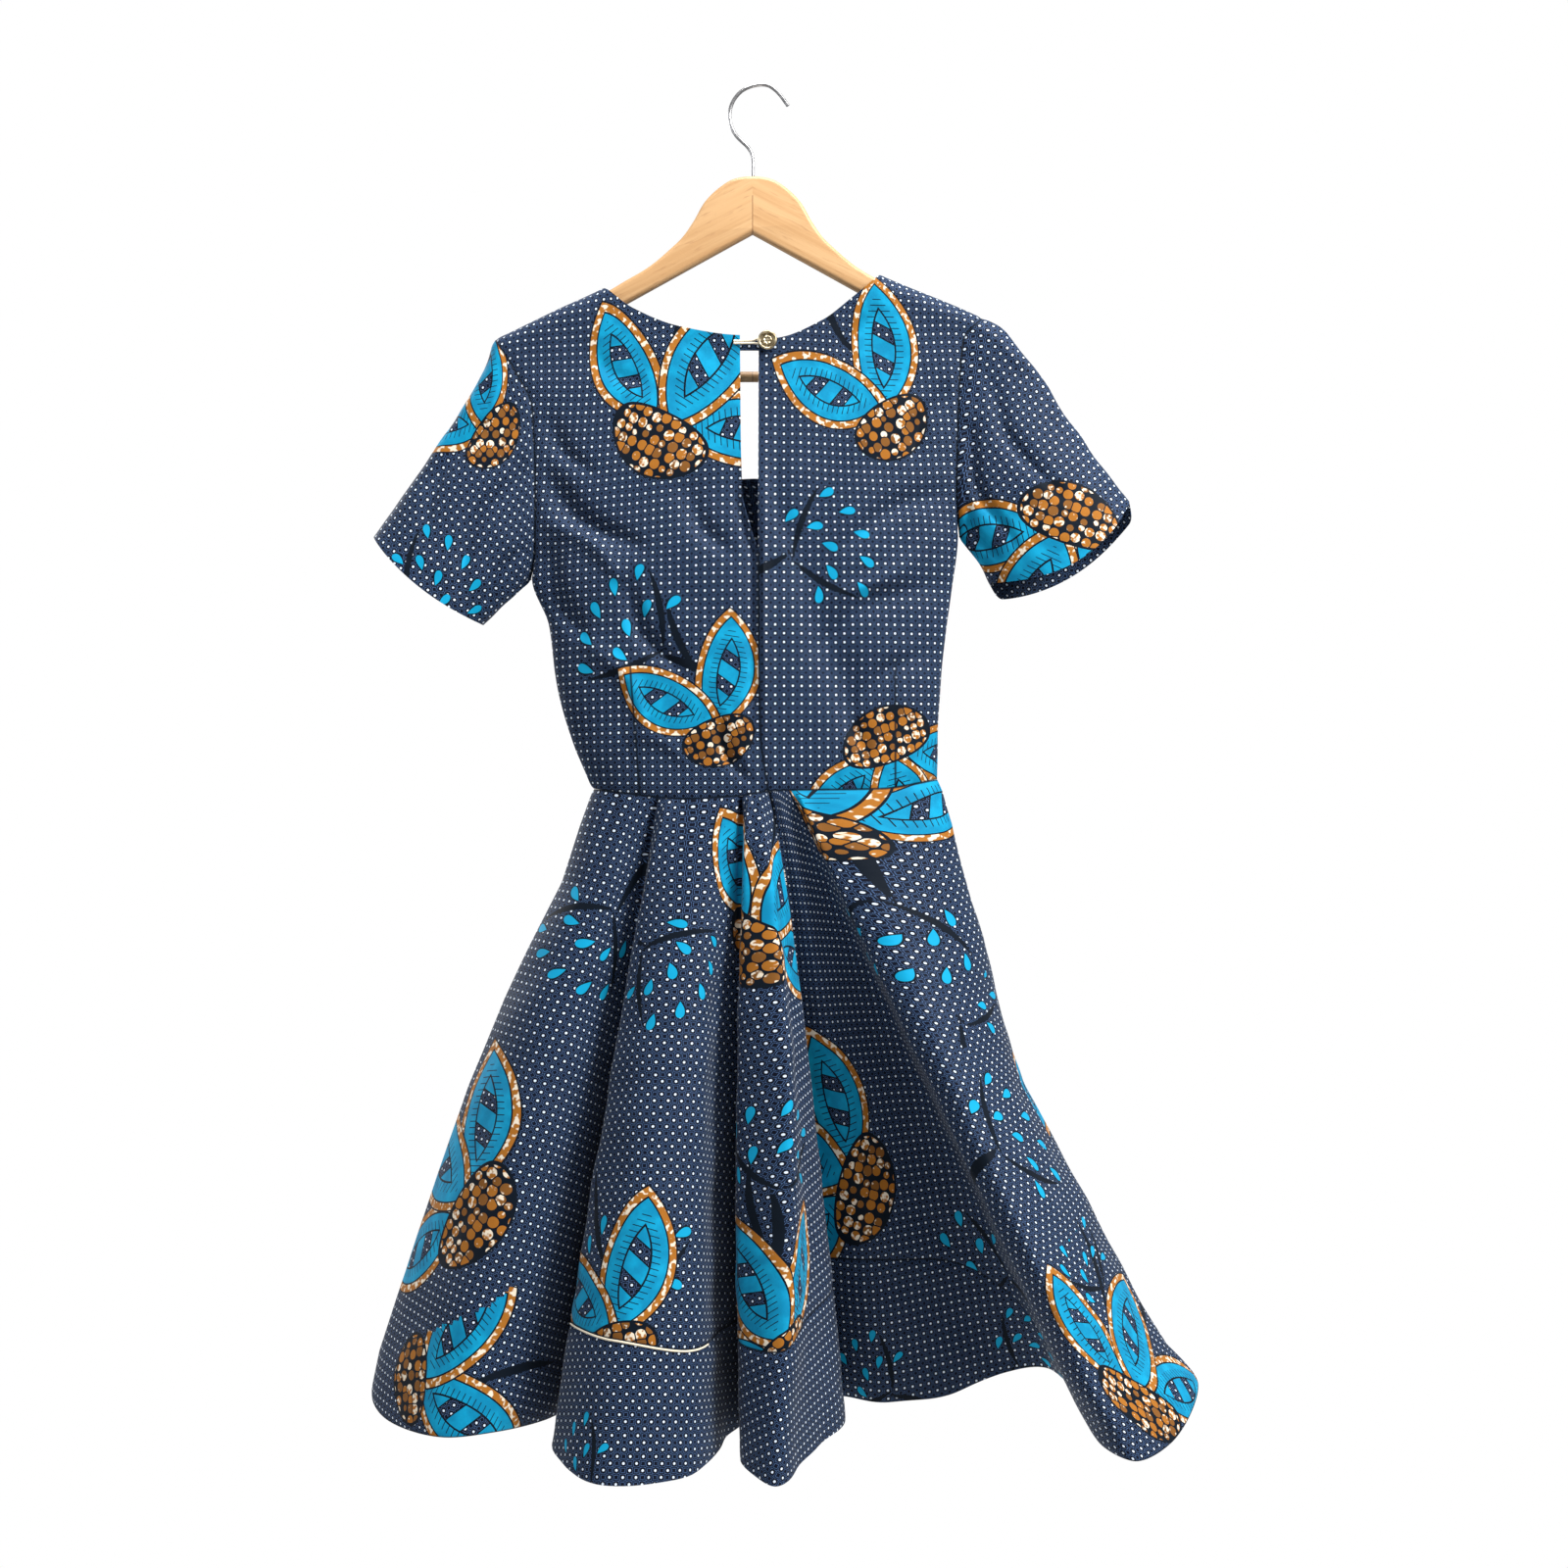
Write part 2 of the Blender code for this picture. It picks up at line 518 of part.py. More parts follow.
# Columns as shares of the way to the neck point, then from there to the side.
BACK_NECK_COLUMNS = (0.0, 0.22, 0.44, 0.64, 0.80, 0.91, 0.97)
FRONT_NECK_COLUMNS = (0.0, 0.20, 0.40, 0.60, 0.76, 0.88, 0.955, 0.988)
SHOULDER_COLUMNS = (0.0, 0.22, 0.45, 0.65, 0.82, 0.94, 1.0)


def bodice_rows(side):
    low = armhole_share(side)
    return np.array([low * row for row in LOW_ROWS] + [low + (1 - low) * row for row in HIGH_ROWS])


def bodice_columns(side, face):
    """Columns from the inner edge to the outer, close together at the neck point and the side."""
    neck = neck_share(side, face)
    inner = np.array(FRONT_NECK_COLUMNS if face > 0 else BACK_NECK_COLUMNS)
    return np.concatenate([neck * inner, neck + (1 - neck) * np.array(SHOULDER_COLUMNS)])


def back_panel(name, side):
    us, vs = np.meshgrid(bodice_columns(side, -1), bodice_rows(side), indexing="ij")
    return Panel(name, lambda u, v: bodice(side, -1, u, v), us, vs, flip=side.sign < 0)


def front_panel(name):
    """The front in one piece: u from -1 at the left edge through the middle to +1."""
    left = -bodice_columns(LEFT, 1)[::-1]
    us = np.concatenate([left, bodice_columns(RIGHT, 1)[1:]])
    us, left_rows = np.meshgrid(us, bodice_rows(LEFT), indexing="ij")
    weight = (us + 1) / 2
    vs = left_rows * (1 - weight) + bodice_rows(RIGHT) * weight

    def surface(u, v):
        on_left = bodice(LEFT, 1, np.abs(u), v)
        on_right = bodice(RIGHT, 1, np.abs(u), v)
        return np.where((u < 0)[..., None], on_left, on_right)

    panel = Panel(name, surface, us, vs, flip=True)
    middle = len(bodice_columns(LEFT, 1)) - 1
    panel.outer[middle] = (bodice(LEFT, 1, us[middle] * 0, vs[middle])
                           + bodice(RIGHT, 1, us[middle] * 0, vs[middle])) / 2
    around = panel.outer[middle + 1] - panel.outer[middle - 1]
    up = np.gradient(panel.outer[middle], axis=0)
    panel.normal[middle] = unit(np.cross(up, around))
    return panel


def sleeve_panel(name, side):
    """Columns follow the bodice's rows, so both sides of the armhole seam match."""
    turns = np.arccos(1 - 2 * np.array(HIGH_ROWS)) / (2 * pi)
    turns = np.concatenate([turns, 1 - turns[-2:0:-1]])
    shares = np.array([0.0, 0.05, 0.13, 0.25, 0.40, 0.60, 0.80, 1.0])
    us, vs = np.meshgrid(turns, shares, indexing="ij")
    return Panel(name, lambda u, v: sleeve(side, u, v), us, vs, flip=side.sign > 0, closed=True)


def sew_armhole(back, front, front_column, tube):
    """Mitre the sleeve head against the bodice, and the shoulder seam's two walls."""
    start = len(LOW_ROWS)
    rows = len(HIGH_ROWS)
    tube_in = unit(tube.outer[:, 1] - tube.outer[:, 0])
    back_key = (-1, slice(start, start + rows))
    mitre(back, back_key, tube, (slice(0, rows), 0), tube_in[:rows])
    order = np.concatenate([[0], np.arange(2 * rows - 3, rows - 2, -1)])
    mitre(front, (front_column, slice(start, start + rows)), tube, (order, 0), tube_in[order])


def sew_shoulder(back, front, front_columns, back_columns):
    front_in = unit(front.outer[front_columns, -2] - front.outer[front_columns, -1])
    mitre(back, (back_columns, -1), front, (front_columns, -1), front_in)


JOIN_ENDS = 0.985


def join_share(places, t):
    """The straight join's share of the skirt's length at t, or 1 where there is none."""
    names = list(places)
    knots = [RING.at[name] for name in names]
    share = pchip(knots, [places[name] for name in names], t)
    beyond = (t < knots[0]) | (t > knots[-1])
    return np.where(beyond, 1.0, np.clip(share, 0, 1))


def skirt_columns(first, last, per_fold=3):
    """Columns between two folds, evenly spaced from each fold to the next."""
    names = list(RING.at)
    start = names.index(first)
    stop = names.index(last) if last != names[0] else len(names)
    knots = np.append(RING.knots, RING.period)[start:stop + 1]
    steps = [np.linspace(a, b, per_fold, endpoint=False) for a, b in zip(knots[:-1], knots[1:])]
    return np.append(np.concatenate(steps), knots[-1])


SKIRT_ROWS = np.array([0.0, 0.06, 0.14, 0.25, 0.37, 0.50, 0.62, 0.74, 0.86, 1.0])
HEM_ROWS = np.array([0.0, 0.33, 0.67, 1.0])


def skirt_panel(name, columns, low, high, rows):
    """A skirt piece between two shares of the length, each a function of t."""
    ts, shares = np.meshgrid(columns, rows, indexing="ij")
    ends = low(columns)[:, None], high(columns)[:, None]
    ss = ends[0] + (ends[1] - ends[0]) * shares
    return Panel(name, skirt, ts, ss, flip=True)


def make_skirt(home, look):
    def top(t):
        return np.zeros_like(t)

    def hem(t):
        return np.ones_like(t)

    def left_join(t):
        return join_share(LEFT_JOIN, t)

    def right_join(t):
        return join_share(RIGHT_JOIN, t)

    left = skirt_columns("left side seam", "centre back")
    right = skirt_columns("centre back", "right side seam")
    front = skirt_columns("right side seam", "left side seam", per_fold=2)
    left_low = left[left_join(left) < JOIN_ENDS]
    right_low = right[right_join(right) < JOIN_ENDS]
    sides = ("u0", "u1", "v0")
    build_wall(skirt_panel("skirt_back_left", left, top, left_join, SKIRT_ROWS), sides + ("v1",), look, home)
    build_wall(skirt_panel("skirt_back_right", right, top, right_join, SKIRT_ROWS), sides + ("v1",), look, home)
    build_wall(skirt_panel("skirt_hem_piece_left", left_low, left_join, hem, HEM_ROWS), sides, look, home)
    build_wall(skirt_panel("skirt_hem_piece_right", right_low, right_join, hem, HEM_ROWS), sides, look, home)
    build_wall(skirt_panel("skirt_front", front, top, hem, SKIRT_ROWS), sides, look, home)


def make_bodice(home, look):
    backs = {LEFT: back_panel("bodice_back_left", LEFT), RIGHT: back_panel("bodice_back_right", RIGHT)}
    front = front_panel("bodice_front")
    tubes = {LEFT: sleeve_panel("sleeve_left", LEFT), RIGHT: sleeve_panel("sleeve_right", RIGHT)}
    across = len(SHOULDER_COLUMNS)
    width = front.outer.shape[0]
    shoulder = {LEFT: np.arange(across - 1, -1, -1), RIGHT: np.arange(width - across, width)}
    back_shoulder = len(BACK_NECK_COLUMNS) + np.arange(across)
    for side, column in ((LEFT, 0), (RIGHT, -1)):
        sew_armhole(backs[side], front, column, tubes[side])
        sew_shoulder(backs[side], front, shoulder[side], back_shoulder)
    for side in (LEFT, RIGHT):
        build_wall(backs[side], ("u0", "u1", "v0", "v1"), look, home)
        build_wall(tubes[side], ("v0",), look, home)
    build_wall(front, ("u0", "u1", "v0", "v1"), look, home)


# Outline of the hanger's right half, from the hook's seat round to the middle of the underside.
HANGER_TOP = (
    Spot(0.0000, -0.0788), Spot(0.0090, -0.0794), Spot(0.0175, -0.0815), Spot(0.0289, -0.0886),
    Spot(0.0408, -0.1001), Spot(0.0519, -0.1188), Spot(0.0612, -0.1320), Spot(0.0714, -0.1418),
    Spot(0.0893, -0.1568), Spot(0.1114, -0.1700), Spot(0.1300, -0.1809), Spot(0.1488, -0.1891),
    Spot(0.1700, -0.1978), Spot(0.1913, -0.2078), Spot(0.2040, -0.2138),
)
HANGER_END = (
    Spot(0.2115, -0.2185), Spot(0.2150, -0.2260), Spot(0.2150, -0.2380), Spot(0.2135, -0.2500),
    Spot(0.2075, -0.2590), Spot(0.1980, -0.2625), Spot(0.1895, -0.2610), Spot(0.1841, -0.2580),
    Spot(0.1841, -0.2460), Spot(0.1820, -0.2350),
)
HANGER_UNDER = (Spot(0.1740, -0.2235), Spot(0.1450, -0.2075), Spot(0.1127, -0.1905), Spot(0.0550, -0.1585))
HANGER_NOTCH = Spot(0.0, -0.1282)


def poly_curve(name, points, look, home, closed=False):
    """A POLY spline through (x, y, z) points."""
    curve = bpy.data.curves.new(name, "CURVE")
    spline = curve.splines.new("POLY")
    spline.points.add(len(points) - 1)
    for point, place in zip(spline.points, points):
        point.co = (*place, 1.0)
    spline.use_cyclic_u = closed
    return add_object(name, curve, look, home)


def make_hanger_body(home, look):
    """A flat outline with its half thickness each side, welded and rounded."""
    half = HANGER_TOP[1:] + HANGER_END + HANGER_UNDER
    outline = [(HANGER_TOP[0].x, HANGER_TOP[0].z)]
    outline += [(spot.x, spot.z) for spot in half]
    outline.append((HANGER_NOTCH.x, HANGER_NOTCH.z))
    outline += [(-spot.x, spot.z) for spot in reversed(half)]
    body = poly_curve("hanger_body", [(x, z, 0.0) for x, z in outline], look, home, closed=True)
    body.data.dimensions = "2D"
    body.data.fill_mode = "BOTH"
    body.data.extrude = WOOD_THICKNESS / 2
    body.location = (HANGER_MIDDLE, 0.0, 0.0)
    body.rotation_euler = (pi / 2, 0.0, 0.0)
    weld = body.modifiers.new("weld", "WELD")
    weld.merge_threshold = WELD_DISTANCE
    bevel = body.modifiers.new("rounded edges", "BEVEL")
    bevel.width = WOOD_ROUNDING
    bevel.segments = 2
    bevel.limit_method = "ANGLE"
    bevel.angle_limit = pi / 3


def make_bar(home, look):
    bpy.ops.mesh.primitive_cylinder_add(vertices=16, radius=BAR_DIAMETER / 2, depth=2 * BAR_HALF_LENGTH,
                                        location=(HANGER_MIDDLE, 0.0, BAR_Z), rotation=(0.0, pi / 2, 0.0))
    bar = bpy.context.object
    bar.name = "hanger_bar"
    bar.data.name = "hanger_bar"
    for home_before in list(bar.users_collection):
        home_before.objects.unlink(bar)
    home.objects.link(bar)
    bar.data.materials.append(own_material(bar.name, look))
    bar.data.shade_smooth()
    bar.data.set_sharp_from_angle(angle=SMOOTH_BELOW)


# The hook's centre line, from the wood up, over the crown and down to its open end.
HOOK = (
    Spot(-0.0085, -0.0784), Spot(-0.0086, -0.0660), Spot(-0.0096, -0.0580), Spot(-0.0128, -0.0526),
    Spot(-0.0172, -0.0484), Spot(-0.0225, -0.0430), Spot(-0.0263, -0.0365), Spot(-0.0282, -0.0300),
    Spot(-0.0285, -0.0235), Spot(-0.0270, -0.0165), Spot(-0.0235, -0.0098), Spot(-0.0180, -0.0040),
    Spot(-0.0105, -0.0002), Spot(-0.0045, 0.0012), Spot(0.0000, 0.0016), Spot(0.0050, 0.0008),
    Spot(0.0110, -0.0030), Spot(0.0158, -0.0080), Spot(0.0195, -0.0130), Spot(0.0222, -0.0168),
)


def make_hook(home, look):
    xs = np.array([spot.x for spot in HOOK])
    zs = np.array([spot.z for spot in HOOK])
    knots = np.concatenate([[0.0], np.cumsum(np.hypot(np.diff(xs), np.diff(zs)))])
    fine = np.linspace(0.0, knots[-1], 34)
    slopes = [np.gradient(values, knots) for values in (xs, zs)]
    path = zip(hermite(knots, xs, slopes[0], fine), hermite(knots, zs, slopes[1], fine))
    hook = poly_curve("hanger_hook", [(x, 0.0, z) for x, z in path], look, home)
    hook.data.dimensions = "3D"
    hook.data.bevel_depth = WIRE / 2
    hook.data.bevel_resolution = 2
    hook.data.use_fill_caps = True


# Button, loop and tab at the neck

def button_seat():
    """Depth of the cloth's outer face behind the button."""
    return float(back_surface(np.array(BUTTON_AT[0]), np.array(BUTTON_AT[1])))


def make_button(home, look):
    """A turned button on a shank: rim, dished face with a raised middle."""
    radius = BUTTON_DIAMETER / 2
    thick = BUTTON_THICKNESS
    profile = [
        (0.0, thick * 0.80), (radius * 0.22, thick * 0.76), (radius * 0.34, thick * 0.48),
        (radius * 0.62, thick * 0.50), (radius * 0.72, thick * 0.92), (radius * 0.86, thick),
        (radius * 0.97, thick * 0.78), (radius, thick * 0.42), (radius * 0.90, 0.0),
        (SHANK_DIAMETER / 2, 0.0), (SHANK_DIAMETER / 2, -BUTTON_RISE + SEAM_GAP), (0.0, -BUTTON_RISE + SEAM_GAP),
    ]
    mesh = bpy.data.meshes.new("button")
    drawn = bmesh.new()
    points = [drawn.verts.new((across, 0.0, rise)) for across, rise in profile]
    for first, second in zip(points[:-1], points[1:]):
        drawn.edges.new((first, second))
    drawn.to_mesh(mesh)
    drawn.free()
    button = add_object("button", mesh, look, home)
    button.location = (BUTTON_AT[0], button_seat() - BUTTON_RISE, BUTTON_AT[1])
    button.rotation_euler = (pi / 2, 0.0, 0.0)
    turned = button.modifiers.new("turned", "SCREW")
    turned.steps = 20
    turned.render_steps = 20
    turned.use_merge_vertices = True
    turned.merge_threshold = WELD_DISTANCE
    turned.use_smooth_shade = True


def make_loop(home, look):
    """A thin cord from the left panel's edge round the button's shank and back."""
    x, z = BUTTON_AT
    reach = SHANK_DIAMETER / 2 + LOOP_DIAMETER / 2 + 0.0004
    proud = LOOP_DIAMETER / 2 + 0.0006
    route = [(LOOP_START_X, 0.0020), (-0.0190, 0.0021), (-0.0120, 0.0024), (-0.0050, reach), (x, reach)]
    turn = [(x + reach * np.cos(a), reach * np.sin(a)) for a in np.linspace(pi / 2, -pi / 2, 9)[1:-1]]
    back = [(across, -lift) for across, lift in reversed(route)]
    points = []
    for across, lift in route + turn + back:
        place_z = z + lift - LOOP_DROOP * min((x - across) / 0.02, 1.0)
        depth = float(back_surface(np.array(across), np.array(place_z)))
        points.append((across, depth - proud, place_z))
    loop = poly_curve("button_loop", points, look, home)
    loop.data.dimensions = "3D"
    loop.data.bevel_depth = LOOP_DIAMETER / 2
    loop.data.bevel_resolution = 1
    loop.data.use_fill_caps = True


def make_tab(home, look):
    """A short tab behind the top of the slit, from under one panel to under the other."""
    xs, zs = np.meshgrid(np.linspace(-0.0285, 0.0035, 9), np.linspace(-0.2325, -0.2238, 3), indexing="ij")

    def surface(x, z):
        return np.stack([x, back_surface(x, z, CLOTH + SEAM_GAP + 0.0001), z], axis=-1)

    build_wall(Panel("neck_tab", surface, xs, zs, flip=False), (), look, home)


def main():
    for stale in list(bpy.data.objects):
        bpy.data.objects.remove(stale, do_unlink=True)
    home = bpy.data.collections.new(COLLECTION)
    bpy.context.scene.collection.children.link(home)
    cloth = material("printed_cotton", (0.020, 0.035, 0.085), 0.75)
    wood = material("beech", (0.60, 0.38, 0.20), 0.45)
    steel = material("steel_wire", (0.55, 0.55, 0.56), 0.30, 1.0)
    gold = material("gold_metal", (0.75, 0.58, 0.30), 0.30, 1.0)
    cord = material("cream_cord", (0.80, 0.74, 0.62), 0.80)
    make_hanger_body(home, wood)
    make_bar(home, wood)
    make_hook(home, steel)
    make_bodice(home, cloth)
    make_skirt(home, cloth)
    make_tab(home, cloth)
    make_button(home, gold)
    make_loop(home, cord)


main()
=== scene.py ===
"""The dressed look of the a-line dress on its hanger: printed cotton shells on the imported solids.

Metres, +Z up, the fastened back towards -Y. Every cloth piece is a thin shell over the same
formulas as its solid, on a fine grid, with creases, seams and a flat pattern for the print.
"""
from collections import namedtuple
from math import pi

import bmesh
import bpy
import numpy as np
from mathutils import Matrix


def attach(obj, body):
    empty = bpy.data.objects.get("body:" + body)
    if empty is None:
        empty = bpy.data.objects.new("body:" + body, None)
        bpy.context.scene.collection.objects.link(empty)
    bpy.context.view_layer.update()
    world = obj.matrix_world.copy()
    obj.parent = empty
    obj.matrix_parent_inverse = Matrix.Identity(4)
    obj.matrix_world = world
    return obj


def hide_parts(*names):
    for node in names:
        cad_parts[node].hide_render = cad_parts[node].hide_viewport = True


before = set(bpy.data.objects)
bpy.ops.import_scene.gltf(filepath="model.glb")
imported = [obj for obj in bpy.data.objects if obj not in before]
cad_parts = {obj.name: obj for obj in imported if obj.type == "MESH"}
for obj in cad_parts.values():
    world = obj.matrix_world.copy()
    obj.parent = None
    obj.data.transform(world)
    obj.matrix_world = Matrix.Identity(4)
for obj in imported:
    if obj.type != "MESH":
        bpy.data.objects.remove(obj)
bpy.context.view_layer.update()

CLOTH = 0.0013
SEAM_GAP = 0.0003
# The step in a shell's shares over which its direction is measured.
SLOPE_STEP = 0.0004

# Hanger
HANGER_MIDDLE = -0.0085
WOOD_THICKNESS = 0.012
WOOD_ROUNDING = 0.0045
WIRE = 0.0032
BAR_DIAMETER = 0.009
BAR_Z = -0.252
BAR_HALF_LENGTH = 0.1838

# Bodice: n is the exponent of the rounded cross-section, flat at the back and full at the sides.
SECTION_N = 2.4
CAP_HEIGHT = 0.014
NAPE_Z = -0.23
NAPE_SHARE = 0.75
SLIT_FOOT_Z = -0.406
WAIST_BACK_DEPTH = 0.040
WAIST_FRONT_DEPTH = 0.040

# Button and loop
BUTTON_AT = (0.0044, -0.2246)
BUTTON_DIAMETER = 0.0166
BUTTON_RISE = 0.0034
BUTTON_THICKNESS = 0.0024
SHANK_DIAMETER = 0.0034
LOOP_RADIUS = 0.00095
LOOP_START_X = -0.0245
LOOP_DROOP = 0.0012

Row = namedtuple("Row", "z value")
Spot = namedtuple("Spot", "x z")
Fold = namedtuple("Fold", "place hem_x hem_y hem_z waist_x flare belly", defaults=(1.0, 0.0))
Side = namedtuple("Side", "sign waist_z underarm_z tip_z edge shoulder neckline sleeve")
Cuffed = namedtuple("Cuffed", "share x z")
Sleeve = namedtuple("Sleeve", "top under depth near_bulge far_bulge")
Cut = namedtuple("Cut", "name columns top bottom rows flat sewn hemmed motifs side")
Crease = namedtuple("Crease", "x0 z0 x1 z1 width depth")
Tuck = namedtuple("Tuck", "place depth width reach")
Motif = namedtuple("Motif", "x z turn size kind")
Leaf = namedtuple("Leaf", "x y turn length width bend")


def table(kind, rows):
    """A table's plain rows as rows with named fields."""
    return tuple(kind(*row) for row in rows)


# Side seam below the underarm and armhole above it, as x at each height.
LEFT_EDGE = table(Row, (
    (-0.6093, -0.147), (-0.571, -0.164), (-0.52, -0.1785), (-0.469, -0.1853), (-0.428, -0.2),
    (-0.405, -0.1965), (-0.35, -0.1955), (-0.282, -0.198), (-0.25, -0.2125), (-0.22, -0.2321),
))
RIGHT_EDGE = table(Row, (
    (-0.6008, 0.1522), (-0.571, 0.1522), (-0.52, 0.1547), (-0.4775, 0.159), (-0.435, 0.1649),
    (-0.3908, 0.17), (-0.35, 0.1675), (-0.2735, 0.1692), (-0.2225, 0.1734), (-0.2013, 0.1913),
))
# How far round the full cross-section the cloth's edge lies: 1 is right at the side.
EDGE_SHARE = table(Row, (
    (-0.025, 1.0), (0.0, 1.0), (0.03, 0.955), (0.08, 0.9), (0.14, 0.83), (0.178, 0.77), (0.21, 0.72),
))
# Centre back: the seam line, and how wide the slit above it stands open.
CENTRE_BACK = table(Row, ((-0.612, 0.0055), (-0.56, -0.0015), (-0.408, -0.0034), (-0.219, -0.003)))
SLIT_WIDTH = table(Row, ((-0.408, 0.0), (-0.388, 0.0062), (-0.355, 0.014), (-0.219, 0.0162)))
BACK_DEPTH = table(Row, (
    (-0.612, WAIST_BACK_DEPTH), (-0.52, 0.038), (-0.435, 0.035), (-0.35, 0.03), (-0.282, 0.024),
    (-0.219, 0.019), (-0.15, 0.0185),
))
FRONT_DEPTH = table(Row, (
    (-0.612, WAIST_FRONT_DEPTH), (-0.5, 0.042), (-0.42, 0.043), (-0.35, 0.036), (-0.282, 0.027),
    (-0.219, 0.0195), (-0.15, 0.0185),
))
WAIST_LINE = table(Spot, (
    (-0.147, -0.6093), (-0.065, -0.6175), (-0.02, -0.615), (0.011, -0.6105), (0.1, -0.609),
    (0.1522, -0.6008),
))
# Back neckline from the centre to each neck point, then the shoulder seam to its tip.
LEFT_NECKLINE = table(Spot, (
    (-0.003, -0.2197), (-0.0201, -0.2194), (-0.0723, -0.2114), (-0.1122, -0.1953), (-0.134, -0.179),
    (-0.1386, -0.176),
))
RIGHT_NECKLINE = table(Spot, (
    (-0.003, -0.2228), (0.012, -0.2219), (0.0516, -0.2063), (0.0762, -0.1876), (0.099, -0.1686),
    (0.1037, -0.1646),
))
LEFT_TIP = Spot(-0.2321, -0.2200)
RIGHT_TIP = Spot(0.1913, -0.2013)
RIDGE_AT_MIDDLE = Spot(-0.0085, -0.0680)
CENTRE_WAIST_Z = -0.6110
FRONT_NECK_BOTTOM = Spot(-0.0175, -0.3370)
FRONT_SCOOP = 0.8

LEFT_SLEEVE = Sleeve(
    top=table(Cuffed, ((0.0, -0.2321, -0.22), (0.13, -0.2406, -0.2438), (0.34, -0.2619, -0.282),
                       (0.57, -0.2874, -0.3203), (1.0, -0.3366, -0.3908))),
    under=table(Cuffed, ((0.0, -0.2, -0.428), (0.5, -0.22, -0.446), (1.0, -0.2423, -0.4673))),
    depth=(0.017, 0.034), near_bulge=0.008, far_bulge=0.005,
)
RIGHT_SLEEVE = Sleeve(
    top=table(Cuffed, ((0.0, 0.1913, -0.2013), (0.11, 0.21, -0.2123), (0.25, 0.227, -0.2353),
                       (0.5, 0.2567, -0.2778), (0.78, 0.2907, -0.3245), (1.0, 0.3179, -0.3602))),
    under=table(Cuffed, ((0.0, 0.17, -0.3908), (0.5, 0.1855, -0.411), (1.0, 0.1972, -0.4316))),
    depth=(0.017, 0.035), near_bulge=0.022, far_bulge=0.016,
)
LEFT = Side(-1, -0.6093, -0.4280, -0.2200, LEFT_EDGE, LEFT_TIP, LEFT_NECKLINE, LEFT_SLEEVE)
RIGHT = Side(1, -0.6008, -0.3908, -0.2013, RIGHT_EDGE, RIGHT_TIP, RIGHT_NECKLINE, RIGHT_SLEEVE)

# Skirt folds in order round the hem: along the back from the left side seam, then the front.
FOLDS = table(Fold, (
    ("left side seam", -0.3444, 0.01, -1.1348, -0.147), ("cone 1 rise", -0.3225, -0.05, -1.1415, -0.14),
    ("cone 1 crest", -0.2616, -0.11, -1.1391, -0.125),
    ("cone 1 flank", -0.2195, -0.098, -1.1385, -0.113, 0.95),
    ("cone 1 turn", -0.1841, -0.05, -1.143, -0.103, 0.85),
    ("valley 1", -0.156, 0.022, -1.1475, -0.09, 0.82),
    ("cone 2 turn", -0.1732, -0.09, -1.1532, -0.078, 0.82),
    ("cone 2 left crest", -0.1288, -0.165, -1.1599, -0.063, 0.9),
    ("cone 2 right crest", -0.0588, -0.15, -1.1585, -0.042, 0.9, -0.004),
    ("cone 2 lap", -0.027, -0.062, -1.1516, -0.027, 0.9, -0.01),
    ("valley 2", -0.008, -0.012, -1.152, -0.018, 0.9, -0.006),
    ("cone 3 turn", -0.0165, -0.112, -1.1576, -0.011, 0.9, -0.004),
    ("cone 3 crest", 0.0117, -0.155, -1.1647, -0.005, 0.8, 0.016),
    ("cone 3 flank", 0.041, -0.09, -1.1572, 0.001, 0.78, 0.008),
    ("cone 3 edge", 0.0711, -0.02, -1.152, 0.0045, 0.75),
    ("centre back", 0.069, 0.012, -1.1489, 0.0055, 0.75), ("curl", 0.064, 0.034, -1.1464, 0.008, 0.75),
    ("strip", 0.1101, 0.016, -1.1458, 0.011, 0.85), ("recess 1", 0.1646, 0.03, -1.1429, 0.014, 0.95),
    ("recess 2", 0.2148, 0.042, -1.1266, 0.0165), ("recess 3", 0.253, 0.036, -1.1214, 0.019),
    ("cone 4 turn", 0.269, -0.02, -1.13, 0.022), ("cone 4 rise", 0.2768, -0.12, -1.1435, 0.03, 1.02),
    ("cone 4 crest", 0.298, -0.148, -1.1467, 0.056, 1.06),
    ("cone 4 flank", 0.3359, -0.105, -1.1454, 0.106, 1.24),
    ("cone 4 edge", 0.3699, -0.04, -1.1301, 0.14, 1.44),
    ("right side seam", 0.3818, 0.015, -1.1218, 0.1522, 1.48),
    ("front turn right", 0.37, 0.085, -1.123, 0.147, 1.35, 0.003),
    ("front crest 1 right", 0.335, 0.14, -1.127, 0.138, 1.25, 0.004),
    ("front crest 1 left", 0.292, 0.15, -1.13, 0.122, 1.15, 0.003),
    ("front valley 1", 0.255, 0.096, -1.13, 0.108, 1.05),
    ("front crest 2 right", 0.222, 0.135, -1.142, 0.094),
    ("front crest 2 left", 0.17, 0.152, -1.147, 0.073), ("front valley 2", 0.128, 0.082, -1.15, 0.055),
    ("front crest 3 right", 0.1, 0.14, -1.158, 0.042), ("front crest 3 left", 0.035, 0.162, -1.157, 0.016),
    ("front valley 3", 0.004, 0.086, -1.164, 0.002), ("front crest 4 right", -0.022, 0.126, -1.162, -0.01),
    ("front crest 4 left", -0.07, 0.134, -1.162, -0.03), ("front valley 4", -0.098, 0.072, -1.165, -0.045),
    ("front crest 5 right", -0.122, 0.138, -1.162, -0.057),
    ("front crest 5 left", -0.19, 0.158, -1.151, -0.083), ("front valley 5", -0.222, 0.09, -1.152, -0.098),
    ("front crest 6 right", -0.248, 0.13, -1.144, -0.11),
    ("front crest 6 left", -0.3, 0.128, -1.133, -0.128), ("front turn left", -0.333, 0.072, -1.133, -0.14),
))
